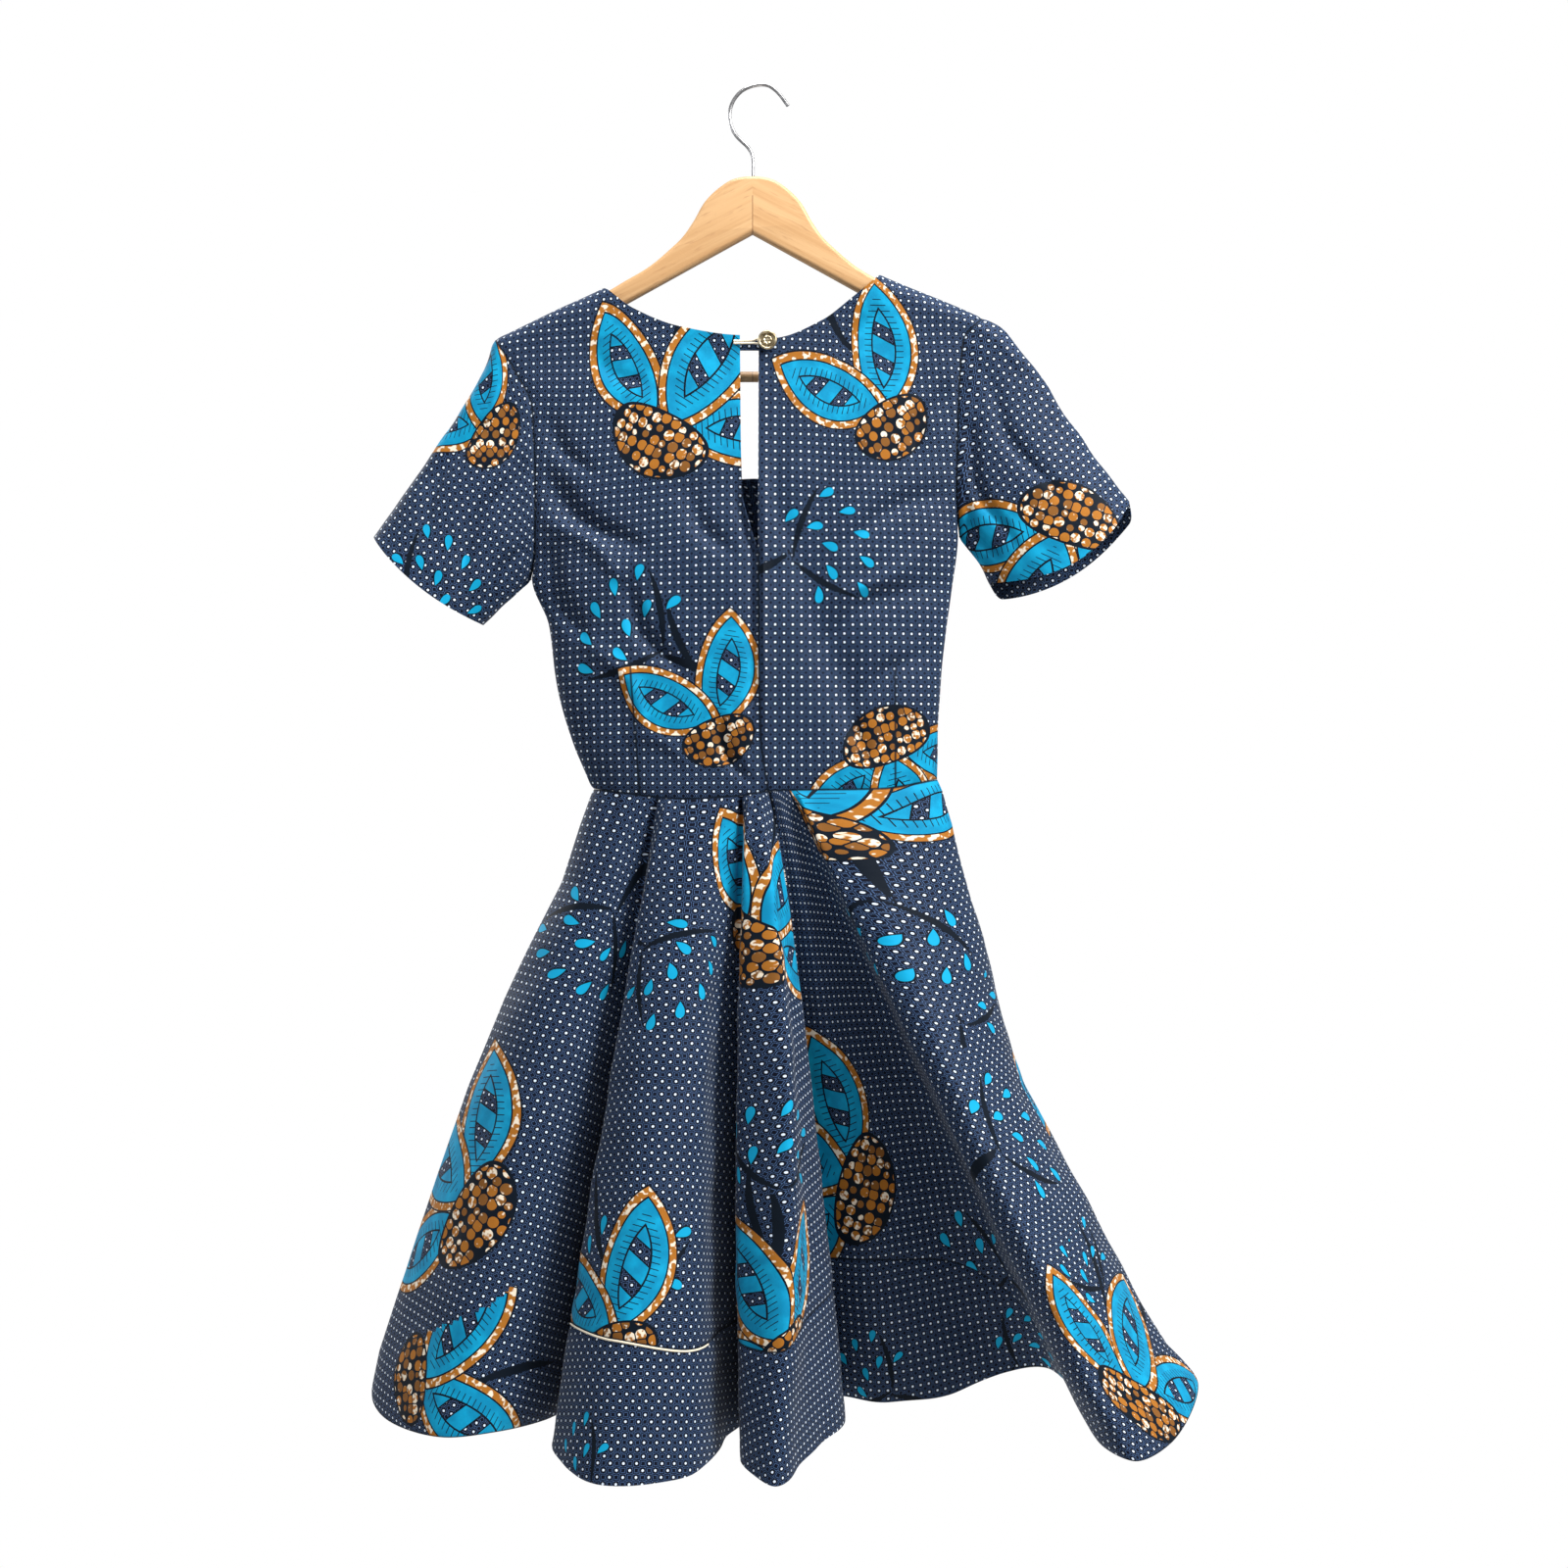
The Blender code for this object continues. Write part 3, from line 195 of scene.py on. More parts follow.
# Straight joins where a second piece of cloth makes up the hem: share of the length at each fold.
LEFT_JOIN = {"valley 1": 1.0, "cone 2 turn": 0.812, "cone 2 left crest": 0.800, "cone 2 right crest": 0.822,
             "cone 2 lap": 0.835, "valley 2": 0.835, "cone 3 turn": 0.830, "cone 3 crest": 0.815,
             "cone 3 flank": 0.800, "cone 3 edge": 0.790, "centre back": 0.785}
RIGHT_JOIN = {"centre back": 0.765, "curl": 0.765, "strip": 0.762, "recess 1": 0.770, "recess 2": 0.810,
              "recess 3": 0.880, "cone 4 turn": 1.0}


def pchip(xs, ys, at):
    """Smooth curve through the points that never overshoots them."""
    xs = np.asarray(xs, float)
    ys = np.asarray(ys, float)
    step = np.diff(xs)
    rise = np.diff(ys) / step
    slope = np.zeros(len(xs))
    slope[0] = rise[0]
    slope[-1] = rise[-1]
    same = rise[1:] * rise[:-1] > 0
    slope[1:-1][same] = 2 * rise[1:][same] * rise[:-1][same] / (rise[1:] + rise[:-1])[same]
    return hermite(xs, ys, slope, at)


def hermite(xs, ys, slope, at):
    """Cubic pieces through the points, straight on beyond both ends."""
    at = np.asarray(at, float)
    k = np.clip(np.searchsorted(xs, at) - 1, 0, len(xs) - 2)
    h = xs[k + 1] - xs[k]
    t = np.clip((at - xs[k]) / h, 0, 1)
    inside = ((1 + 2 * t) * (1 - t) ** 2 * ys[k] + t * (1 - t) ** 2 * h * slope[k]
              + t * t * (3 - 2 * t) * ys[k + 1] - t * t * (1 - t) * h * slope[k + 1])
    before = np.minimum(at - xs[0], 0) * slope[0]
    after = np.maximum(at - xs[-1], 0) * slope[-1]
    return inside + before + after


def at_height(rows, z):
    """A table's value at height z."""
    return pchip([row.z for row in rows], [row.value for row in rows], z)


def along(spots, x):
    """A line's height at x, through spots in either order."""
    spots = sorted(spots)
    return pchip([spot.x for spot in spots], [spot.z for spot in spots], x)


def signed_power(base, exponent):
    return np.sign(base) * np.abs(base) ** exponent


def cap(drop):
    """Rounding over the shoulder: 0 on the ridge, 1 from CAP_HEIGHT below it."""
    left = 1 - np.clip(drop, 0, CAP_HEIGHT) / CAP_HEIGHT
    return np.sqrt(1 - left * left)


def ridge(side, x):
    """Height of the shoulder ridge, carried on over the hanger inside the neck."""
    neck = side.neckline[-1]
    outer = (neck.z - side.shoulder.z) / (neck.x - side.shoulder.x)
    inner = (RIDGE_AT_MIDDLE.z - neck.z) / (RIDGE_AT_MIDDLE.x - neck.x)
    beyond = (x - neck.x) * side.sign > 0
    return neck.z + (x - neck.x) * np.where(beyond, outer, inner)


def back_neckline(side, x):
    return along(side.neckline, x)


def front_neckline(side, x):
    """A scoop from the neck point down to the middle of the front."""
    neck = side.neckline[-1]
    share = np.clip((x - FRONT_NECK_BOTTOM.x) / (neck.x - FRONT_NECK_BOTTOM.x), 0, 1)
    return neck.z - (neck.z - FRONT_NECK_BOTTOM.z) * (1 - share ** 2) ** FRONT_SCOOP


def top_line(side, face, x):
    """Top edge of a bodice panel: neckline, then shoulder seam."""
    inside = (x - side.neckline[-1].x) * side.sign < 0
    line = front_neckline if face > 0 else back_neckline
    return np.where(inside, line(side, x), ridge(side, x))


def bodice_x(side, face, u, v):
    """x on a bodice panel: u from its inner edge to the side or armhole, v from waist to top."""
    v = np.clip(v, -0.01, 1.0)
    edge_z = side.waist_z + v * (side.tip_z - side.waist_z)
    edge_x = at_height(side.edge, edge_z)
    share = np.minimum(at_height(EDGE_SHARE, edge_z - side.underarm_z), 1.0)
    middle_z = CENTRE_WAIST_Z + v * (side.neckline[0].z - CENTRE_WAIST_Z)
    middle_x = at_height(CENTRE_BACK, middle_z)
    half = edge_x - middle_x
    opened = 0.0 * half
    if face < 0 and side.sign < 0:
        opened = np.maximum(at_height(SLIT_WIDTH, middle_z), 0) / np.abs(half)
    start = np.arcsin(signed_power(opened * share, SECTION_N / 2))
    angle = start + u * (np.arcsin(share ** (SECTION_N / 2)) - start)
    x = middle_x + half * signed_power(np.sin(angle), 2 / SECTION_N) / share
    return x, signed_power(np.cos(angle), 2 / SECTION_N)


def bodice(side, face, u, v):
    """Points of a bodice panel's outer face; face is -1 at the back and +1 at the front."""
    x, fullness = bodice_x(side, face, u, v)
    top = top_line(side, face, bodice_x(side, face, u, np.ones_like(v))[0])
    bottom = along(WAIST_LINE, bodice_x(side, face, u, np.zeros_like(v))[0])
    z = bottom + v * (top - bottom)
    depth = at_height(BACK_DEPTH if face < 0 else FRONT_DEPTH, z)
    y = face * depth * fullness * cap(ridge(side, x) - z)
    return np.stack([x, y, z], axis=-1)


def back_surface(x, z, inward=0.0):
    """The back of the bodice as if it had no slit, moved in towards the front."""
    half = at_height(RIGHT_EDGE, NAPE_Z) - at_height(CENTRE_BACK, z)
    share = np.clip(np.abs(x - at_height(CENTRE_BACK, z)) / half * NAPE_SHARE, 0, 1)
    return -at_height(BACK_DEPTH, z) * (1 - share ** SECTION_N) ** (1 / SECTION_N) + inward


def neck_share(side, face):
    """The u of the column that runs to the neck point."""
    us = np.linspace(0, 1, 2001)
    x = bodice_x(side, face, us, np.ones_like(us))[0]
    return float(np.interp(side.neckline[-1].x * side.sign, x * side.sign, us))


def sleeve_point(rows, share):
    """x and z of a sleeve's top or under line at a share of its length."""
    shares = [row.share for row in rows]
    x = pchip(shares, [row.x for row in rows], share)
    z = pchip(shares, [row.z for row in rows], share)
    return np.stack([x, z], axis=-1)


def armhole_share(side):
    return (side.underarm_z - side.waist_z) / (side.tip_z - side.waist_z)


def armhole(side, turn):
    """The armhole: turn 0 at the underarm, 0.5 at the shoulder tip, back edge first."""
    turn = np.mod(turn, 1.0)
    low = armhole_share(side)
    v = low + (1 - low) * (1 - np.cos(2 * pi * turn)) / 2
    ones = np.ones_like(v)
    return np.where((turn < 0.5)[..., None], bodice(side, -1, ones, v), bodice(side, 1, ones, v))


def sleeve(side, turn, share):
    """Points of a sleeve's outer face, from the armhole (share 0) to the cuff (share 1)."""
    cut = side.sleeve

    def oval(part):
        top = sleeve_point(cut.top, part)
        under = sleeve_point(cut.under, part)
        swing = np.cos(2 * pi * turn)[..., None]
        flat = (top + under) / 2 - (top - under) / 2 * swing
        depth = cut.depth[0] + (cut.depth[1] - cut.depth[0]) * part
        return np.stack([flat[..., 0], -depth * np.sin(2 * pi * turn), flat[..., 1]], axis=-1)

    turn, share = np.broadcast_arrays(np.asarray(turn, float), np.asarray(share, float))
    first = np.zeros_like(share)
    points = oval(share) + ((1 - share) ** 2)[..., None] * (armhole(side, turn) - oval(first))
    chord = sleeve_point(cut.top, 1.0) - sleeve_point(cut.under, 1.0)
    outward = np.array([-chord[1], 0.0, chord[0]]) / np.linalg.norm(chord)
    outward = outward * np.sign(outward[0]) * side.sign
    bulge = np.where(np.sin(2 * pi * turn) > 0, cut.near_bulge, cut.far_bulge)
    push = bulge * np.sin(2 * pi * turn) ** 2 * np.clip(share, 0, 1) ** 3
    return points + push[..., None] * outward


class FoldRing:
    """The skirt's folds as smooth closed curves over t, which runs round the hem."""

    def __init__(self, folds):
        ring = [(fold.hem_x, fold.hem_y) for fold in folds]
        gaps = [np.hypot(*np.subtract(ring[i], ring[i - 1])) ** 0.5 for i in range(1, len(ring))]
        self.knots = np.concatenate([[0.0], np.cumsum(gaps)])
        self.period = self.knots[-1] + np.hypot(*np.subtract(ring[0], ring[-1])) ** 0.5
        self.folds = folds
        self.at = {fold.place: t for fold, t in zip(folds, self.knots)}

    def column(self, name, t):
        values = np.array([getattr(fold, name) for fold in self.folds])
        wraps = (-1, 0, 1)
        knots = np.concatenate([self.knots + k * self.period for k in wraps])
        values = np.tile(values, len(wraps))
        before = np.diff(values)[:-1] / np.diff(knots)[:-1]
        after = np.diff(values)[1:] / np.diff(knots)[1:]
        weight = np.diff(knots)[1:] / (knots[2:] - knots[:-2])
        slope = np.zeros(len(values))
        slope[1:-1] = before * weight + after * (1 - weight)
        return hermite(knots, values, slope, t)

    def waist_x(self, t):
        """Waist positions, smooth but never turning back."""
        low = self.at["left side seam"]
        turn = self.at["right side seam"]
        t = np.mod(t - low, self.period) + low
        xs = [fold.waist_x for fold in self.folds]
        count = list(self.at).index("right side seam") + 1
        back = pchip(self.knots[:count], xs[:count], np.minimum(t, turn))
        ends = np.append(self.knots[count - 1:], self.period)
        front = pchip(ends, xs[count - 1:] + xs[:1], np.maximum(t, turn))
        return np.where(t <= turn, back, front)


RING = FoldRing(FOLDS)


def waist_y(x, face):
    """Depth of the waist ring at x, on the same rounded section as the bodice."""
    middle = CENTRE_BACK[0].value
    half = np.where(x < middle, middle - LEFT_EDGE[0].value, RIGHT_EDGE[0].value - middle)
    share = np.clip(np.abs(x - middle) / half, 0, 1)
    depth = np.where(face < 0, WAIST_BACK_DEPTH, WAIST_FRONT_DEPTH)
    return face * depth * (1 - share ** SECTION_N) ** (1 / SECTION_N)


def skirt(t, s):
    """Points of the skirt's outer face: t round the hem, s from waist to hem."""
    t, s = np.broadcast_arrays(np.asarray(t, float), np.asarray(s, float))
    face = np.where(np.mod(t, RING.period) <= RING.at["right side seam"], -1.0, 1.0)
    x0 = RING.waist_x(t)
    y0 = waist_y(x0, face)
    z0 = along(WAIST_LINE, x0)
    down = np.maximum(s, 0)
    flare = RING.column("flare", t)
    belly = RING.column("belly", t) * np.sin(pi * np.clip(s, 0, 1))
    x = x0 + (RING.column("hem_x", t) - x0) * down ** flare + belly
    y = y0 + (RING.column("hem_y", t) - y0) * down
    z = z0 + (RING.column("hem_z", t) - z0) * s
    return np.stack([x, y, z], axis=-1)


def unit(vectors):
    return vectors / np.maximum(np.linalg.norm(vectors, axis=-1, keepdims=True), 1e-12)


JOIN_ENDS = 0.985


def join_share(places, t):
    """The straight join's share of the skirt's length at t, or 1 where there is none."""
    names = list(places)
    knots = [RING.at[name] for name in names]
    share = pchip(knots, [places[name] for name in names], t)
    beyond = (t < knots[0]) | (t > knots[-1])
    return np.where(beyond, 1.0, np.clip(share, 0, 1))


# Fine shells over the solids' formulas

THIN = 0.0007
FAR_AWAY = 9.0
EDGE_CALM = 0.014
# Rumples: their height and size, by piece.
RUMPLE_HEIGHT = 0.0011
RUMPLE_BACK = 0.022
RUMPLE_FRONT = 0.023
SLEEVE_RUMPLE_HEIGHT = 0.0008
SLEEVE_RUMPLE = 0.014
SKIRT_RUMPLE_HEIGHT = 0.0012
SKIRT_RUMPLE = 0.021
# Puckers above the waist seam, gathers beside the armhole and waves along the hem.
PUCKER_HEIGHT = 0.0012
PUCKER_REACH = 0.010
PUCKER_START = 0.003
GATHER_HEIGHT = 0.0010
GATHER_REACH = 0.012
GATHER_START = 0.004
HEM_WAVE_HEIGHT = 0.0009
HEM_WAVE_REACH = 0.016
# The lap of the centre back seam: how far off it and how wide, and its height on each side.
LAP_PLACE = 0.0042
LAP_WIDTH = 0.0046
LAP_START = 0.0016
LAP_RISE = 0.0034
LAP_SINK = -0.0048
# The fine grids: columns round a sleeve, samples of a flat pattern, and the largest steps of shares.
SLEEVE_COLUMNS = 140
FLAT_SAMPLES = 400
BODICE_COLUMN_STEP = 0.0125
BODICE_ROW_STEP = 0.0065
SLEEVE_ROW_STEP = 0.0145
SKIRT_ROW_STEP = 0.0072
HEM_ROW_STEP = 0.03
# Half the width, in shares, over which the front's two halves blend.
FRONT_BLEND = 0.06
SEAM_DIP = 0.0009
SEAM_DIP_WIDTH = 0.0032
LOW_ROWS = (0.0, 0.5, 0.92)
HIGH_ROWS = (0.0, 0.5, 0.80, 0.935, 0.984, 0.9955, 1.0)

# Soft troughs (negative) and ridges, as lines in x and z with their width and depth.
CREASE_GAIN = 2.0
CREASE_NARROW = 0.70
BACK_LEFT_CREASES = table(Crease, (
    (-0.192, -0.338, -0.104, -0.404, 0.015, -0.004), (-0.188, -0.376, -0.118, -0.43, 0.012, 0.0024),
    (-0.12, -0.43, -0.068, -0.512, 0.011, -0.0036), (-0.186, -0.402, -0.154, -0.48, 0.014, -0.0036),
    (-0.066, -0.348, -0.026, -0.412, 0.013, -0.0026), (-0.15, -0.48, -0.096, -0.56, 0.011, 0.0022),
    (-0.11, -0.56, -0.06, -0.59, 0.009, 0.0014), (-0.04, -0.545, -0.008, -0.608, 0.008, -0.0034),
    (-0.15, -0.232, -0.1, -0.262, 0.011, -0.0014), (-0.186, -0.29, -0.146, -0.34, 0.011, -0.0022),
))
BACK_RIGHT_CREASES = table(Crease, (
    (0.158, -0.352, 0.07, -0.402, 0.013, -0.0026), (0.15, -0.392, 0.062, -0.446, 0.012, 0.0018),
    (0.152, -0.43, 0.04, -0.492, 0.013, -0.0026), (0.14, -0.492, 0.076, -0.54, 0.011, -0.0022),
    (0.16, -0.262, 0.128, -0.33, 0.011, -0.0024), (0.02, -0.27, 0.034, -0.43, 0.015, -0.0018),
    (0.076, -0.5, 0.092, -0.588, 0.012, -0.0026), (0.1, -0.196, 0.06, -0.25, 0.011, -0.0014),
    (0.062, -0.3, 0.075, -0.56, 0.032, -0.003),
))
FRONT_CREASES = table(Crease, (
    (-0.18, -0.38, -0.09, -0.42, 0.011, -0.0028), (-0.17, -0.43, -0.06, -0.5, 0.01, -0.0022),
    (-0.15, -0.51, -0.08, -0.56, 0.008, 0.0016), (0.155, -0.36, 0.08, -0.41, 0.011, -0.0028),
    (0.15, -0.42, 0.05, -0.48, 0.009, -0.0022), (0.135, -0.5, 0.06, -0.56, 0.008, 0.0016),
    (-0.06, -0.345, -0.02, -0.42, 0.012, -0.0016), (0.03, -0.35, 0.01, -0.44, 0.012, -0.0018),
    (-0.1, -0.575, 0.0, -0.592, 0.007, -0.0012), (0.11, -0.57, 0.02, -0.588, 0.007, -0.0014),
))
LEFT_SLEEVE_CREASES = table(Crease, (
    (-0.205, -0.33, -0.262, -0.44, 0.009, -0.003), (-0.222, -0.28, -0.3, -0.4, 0.01, -0.0022),
    (-0.202, -0.4, -0.238, -0.45, 0.007, -0.0024), (-0.228, -0.25, -0.25, -0.32, 0.007, 0.0014),
))
RIGHT_SLEEVE_CREASES = table(Crease, (
    (0.176, -0.3, 0.216, -0.4, 0.008, -0.0028), (0.192, -0.25, 0.256, -0.36, 0.01, -0.0022),
    (0.172, -0.36, 0.202, -0.412, 0.007, -0.0024), (0.205, -0.225, 0.262, -0.3, 0.008, 0.0014),
))
# Back waist darts, pressed flat, and the skirt's tucks below the waist.
DARTS = table(Crease, (
    (-0.113, -0.495, -0.1045, -0.612, 0.0032, -0.0006), (0.114, -0.495, 0.1138, -0.606, 0.0032, -0.0006),
))
# How far out from a dart's middle its painted shade line reaches.
DART_SHADE_WIDTH = 0.0016
TUCKS = table(Tuck, (
    ("valley 1", -0.006, 0.16, 0.16), ("valley 2", -0.008, 0.16, 0.22), ("cone 2 turn", 0.003, 0.2, 0.14),
    ("cone 3 turn", 0.0034, 0.14, 0.14), ("centre back", -0.006, 0.12, 0.18), ("curl", 0.001, 0.08, 0.12),
    ("cone 4 turn", -0.003, 0.2, 0.16), ("cone 1 crest", -0.0018, 0.22, 0.3),
    ("cone 4 rise", 0.003, 0.2, 0.12), ("cone 2 left crest", -0.0016, 0.2, 0.35),
    ("front valley 1", -0.005, 0.2, 0.18), ("front valley 2", -0.006, 0.2, 0.2),
    ("front valley 3", -0.007, 0.18, 0.24), ("front valley 4", -0.0056, 0.2, 0.18),
    ("front valley 5", -0.005, 0.2, 0.2),
))

# Where printed motifs lie: x and z on the shown side, turn in degrees, size and kind.
BACK_LEFT_MOTIFS = table(Motif, (
    (-0.085, -0.3, 150, 1.0, "sprig"), (-0.118, -0.47, 60, 0.95, "drops"),
    (-0.04, -0.56, -160, 0.8, "pair"),
))
BACK_RIGHT_MOTIFS = table(Motif, (
    (0.105, -0.29, -150, 0.95, "pair"), (0.06, -0.4, -70, 0.9, "drops"), (0.11, -0.575, 20, 0.85, "sprig"),
))
FRONT_MOTIFS = table(Motif, (
    (-0.1, -0.42, 30, 1.0, "sprig"), (0.095, -0.33, 200, 1.0, "pair"), (0.06, -0.5, -50, 1.0, "sprig"),
    (-0.06, -0.55, 120, 0.9, "drops"),
))
LEFT_SLEEVE_MOTIFS = table(Motif, ((-0.235, -0.3, 100, 0.8, "pair"), (-0.275, -0.43, 20, 0.8, "drops")))
RIGHT_SLEEVE_MOTIFS = table(Motif, ((0.26, -0.385, -60, 0.95, "sprig"),))
SKIRT_LEFT_MOTIFS = table(Motif, (
    (-0.25, -0.96, 160, 1.05, "sprig"), (-0.15, -0.74, 70, 0.95, "drops"),
    (-0.072, -0.76, 190, 0.85, "drops"), (-0.01, -0.735, 120, 0.95, "sprig"),
    (-0.285, -1.1, 20, 0.95, "pair"), (-0.11, -0.985, -40, 0.95, "drops"),
    (-0.12, -1.06, 150, 0.95, "pair"), (0.03, -1.09, 200, 0.9, "sprig"), (0.02, -0.9, -20, 0.9, "drops"),
))
SKIRT_RIGHT_MOTIFS = table(Motif, (
    (0.045, -0.64, 170, 0.85, "pair"), (0.11, -0.735, -150, 0.95, "drops"),
    (0.08, -0.955, -110, 1.05, "sprig"), (0.215, -0.9, -30, 1.0, "drops"),
    (0.31, -1.105, 175, 0.95, "sprig"), (0.17, -1.06, 80, 0.9, "drops"), (0.27, -1.0, 60, 0.8, "drops"),
    (0.175, -0.78, 10, 0.85, "drops"),
))
SKIRT_FRONT_MOTIFS = table(Motif, (
    (-0.2, -0.82, 40, 1.05, "sprig"), (0.2, -0.86, -60, 1.05, "sprig"), (0.0, -0.76, 180, 1.0, "pair"),
    (-0.08, -0.93, 20, 1.0, "drops"), (0.09, -0.98, 150, 1.05, "sprig"), (-0.25, -1.05, -30, 1.05, "pair"),
    (-0.07, -1.1, 100, 1.0, "sprig"), (0.26, -1.08, 30, 1.0, "pair"), (0.11, -0.69, 60, 0.9, "drops"),
    (-0.13, -0.68, -40, 0.9, "drops"), (0.01, -1.03, -60, 0.9, "drops"),
))
HEM_LEFT_MOTIFS = table(Motif, ((-0.15, -1.15, 10, 0.7, "drops"),))
HEM_RIGHT_MOTIFS = table(Motif, ((0.09, -1.12, 60, 0.7, "drops"), (0.24, -1.1, -40, 0.7, "drops")))
# Each kind's place on the print's drawing plane and how far it reaches, in metres.
KIND_PLACE = {"sprig": (0.0, 0.0), "pair": (1.0, 0.0), "drops": (0.0, 0.0)}
KIND_MIDDLE = {"sprig": -0.055, "pair": -0.045, "drops": -0.020}
KIND_REACH = {"sprig": 0.130, "pair": 0.106, "drops": 0.090}
NOWHERE = (5.0, 5.0)


def refine(values, largest):
    """The same values with even steps between them, none longer than the largest."""
    parts = []
    for low, high in zip(values[:-1], values[1:]):
        parts.append(np.linspace(low, high, max(int(np.ceil((high - low) / largest)), 1), endpoint=False))
    return np.append(np.concatenate(parts), values[-1])


def running(points, axis):
    """Length along the grid lines of one direction, from the first line."""
    steps = np.linalg.norm(np.diff(points, axis=axis), axis=-1)
    start = np.zeros_like(np.take(steps, [0], axis=axis))
    return np.concatenate([start, np.cumsum(steps, axis=axis)], axis=axis)


def smooth_share(value, low, high):
    t = np.clip((value - low) / (high - low), 0, 1)
    return t * t * (3 - 2 * t)


def swell(away, reach, start):
    """A low swell beside an edge: 0 on it, risen by start and gone past reach."""
    return np.exp(-away / reach) * (1 - np.exp(-away / start))


def crease_height(points, creases):
    """Height of the creases' troughs and ridges at each point, from its x and z."""
    total = np.zeros(points.shape[:-1])
    for crease in creases:
        start = np.array([crease.x0, crease.z0])
        line = np.array([crease.x1, crease.z1]) - start
        length = np.linalg.norm(line)
        line = line / length
        offset = points[..., (0, 2)] - start
        run = (offset @ line) / length
        side = offset[..., 0] * line[1] - offset[..., 1] * line[0]
        side = side + 0.10 * length * np.sin(pi * np.clip(run, 0, 1)) ** 2 * np.sign(crease.depth)
        fade = np.sin(pi * np.clip(run * 0.9 + 0.05, 0, 1)) ** 0.8 * ((run > -0.055) & (run < 1.055))
        width = CREASE_NARROW * crease.width * (1.15 - 0.5 * np.clip(run, 0, 1))
        total += CREASE_GAIN * crease.depth * np.exp(-(side / width) ** 2) * fade
    return total


def rumple(a, b, size):
    """Low uneven waves with no repeat that the eye finds, from two lengths along the cloth."""
    a = a / size
    b = b / size
    broad = np.sin(a * 1.0 + 1.7 * np.sin(b * 0.63 + 0.4)) * np.sin(b * 1.13 + 1.3 * np.sin(a * 0.71 + 2.1))
    fine = 0.45 * np.sin(a * 1.31 + 2.0 * np.sin(b * 0.91 + 1.0)) * np.sin(b * 2.03 + 1.6 * np.sin(a * 0.83))
    return (broad + fine) / 1.4


class Shell:
    """A thin cloth over a grid of shares, with its flat coordinates and distances to its edges."""

    def __init__(self, name, surface, us, vs, flip, closed=False):
        self.name = name
        self.flip = flip
        self.closed = closed
        self.darted = False
        self.points = surface(us, vs)
        self.normal = self.outward(surface(us + SLOPE_STEP, vs) - surface(us - SLOPE_STEP, vs),
                                   surface(us, vs + SLOPE_STEP) - surface(us, vs - SLOPE_STEP))
        self.across = running(self.points, 0)
        self.up = running(self.points, 1)
        self.seam = np.full(us.shape, FAR_AWAY)
        self.finished = self.seam.copy()
        self.flat = np.stack([self.across, self.up], axis=-1)

    def outward(self, across, up):
        """The unit direction out of the cloth, from two directions along it."""
        return unit(np.cross(across, up)) * (-1 if self.flip else 1)

    def distance(self, edge):
        """Length along the cloth to one of its four edges."""
        run = self.across if edge[0] == "u" else self.up
        if edge[1] == "0":
            return run
        return (run[-1:] if edge[0] == "u" else run[:, -1:]) - run

    def sewn(self, edge, where=True):
        self.seam = np.where(where, np.minimum(self.seam, self.distance(edge)), self.seam)

    def hemmed(self, edge, where=True):
        self.finished = np.where(where, np.minimum(self.finished, self.distance(edge)), self.finished)

    def push(self, height):
        self.points = self.points + self.normal * height[..., None]

    def calm(self):
        """0 at the sewn and finished edges, 1 from EDGE_CALM inwards."""
        return smooth_share(np.minimum(self.seam, self.finished), 0.0, EDGE_CALM)

    def dip(self):
        """How far the cloth sinks beside its seams."""
        return SEAM_DIP * np.exp(-(self.seam / SEAM_DIP_WIDTH) ** 2)

    def rumpled(self, size):
        return rumple(self.flat[..., 0], self.flat[..., 1], size)


def motif_corners(shell, corner_flat, motifs, side):
    """Each face's corners on the print's drawing plane, from the first motif that reaches it."""
    middle = corner_flat.mean(axis=1)
    free = np.ones(len(middle), bool)
    placed = np.tile(np.array(NOWHERE), (len(middle), 4, 1)) + corner_flat * 0.0
    seen = shell.normal[..., 1] * side > 0.15
    for motif in motifs:
        away = np.hypot(shell.points[..., 0] - motif.x, shell.points[..., 2] - motif.z)
        away = away + np.where(seen, 0.0, FAR_AWAY)
        centre = shell.flat[np.unravel_index(np.argmin(away), away.shape)]
        angle = np.radians(motif.turn)
        turn = np.array([[np.cos(angle), -np.sin(angle)], [np.sin(angle), np.cos(angle)]])
        own_middle = (middle - centre) / motif.size @ turn - (0.0, KIND_MIDDLE[motif.kind])
        near = free & (np.linalg.norm(own_middle, axis=1) < KIND_REACH[motif.kind])
        free &= ~near
        placed[near] = (corner_flat[near] - centre) / motif.size @ turn + np.array(KIND_PLACE[motif.kind])
    return placed


def dart_corners(shell):
    """Signed distance to the nearest dart, and 1 along its length, at each point, for the painted shade line.
    """
    offset = np.full(shell.seam.shape, FAR_AWAY)
    along = np.zeros(shell.seam.shape)
    if not shell.darted:
        return np.stack([offset, along], axis=-1)
    for dart in DARTS:
        start = np.array([dart.x0, dart.z0])
        line = np.array([dart.x1, dart.z1]) - start
        length = np.linalg.norm(line)
        away = shell.points[..., (0, 2)] - start
        side = (away[..., 0] * line[1] - away[..., 1] * line[0]) / length
        nearer = np.abs(side) < np.abs(offset)
        offset = np.where(nearer, side, offset)
        along = np.where(nearer, np.clip((away @ line) / length ** 2 * 8, 0, 1), along)
    return np.stack([offset, along], axis=-1)


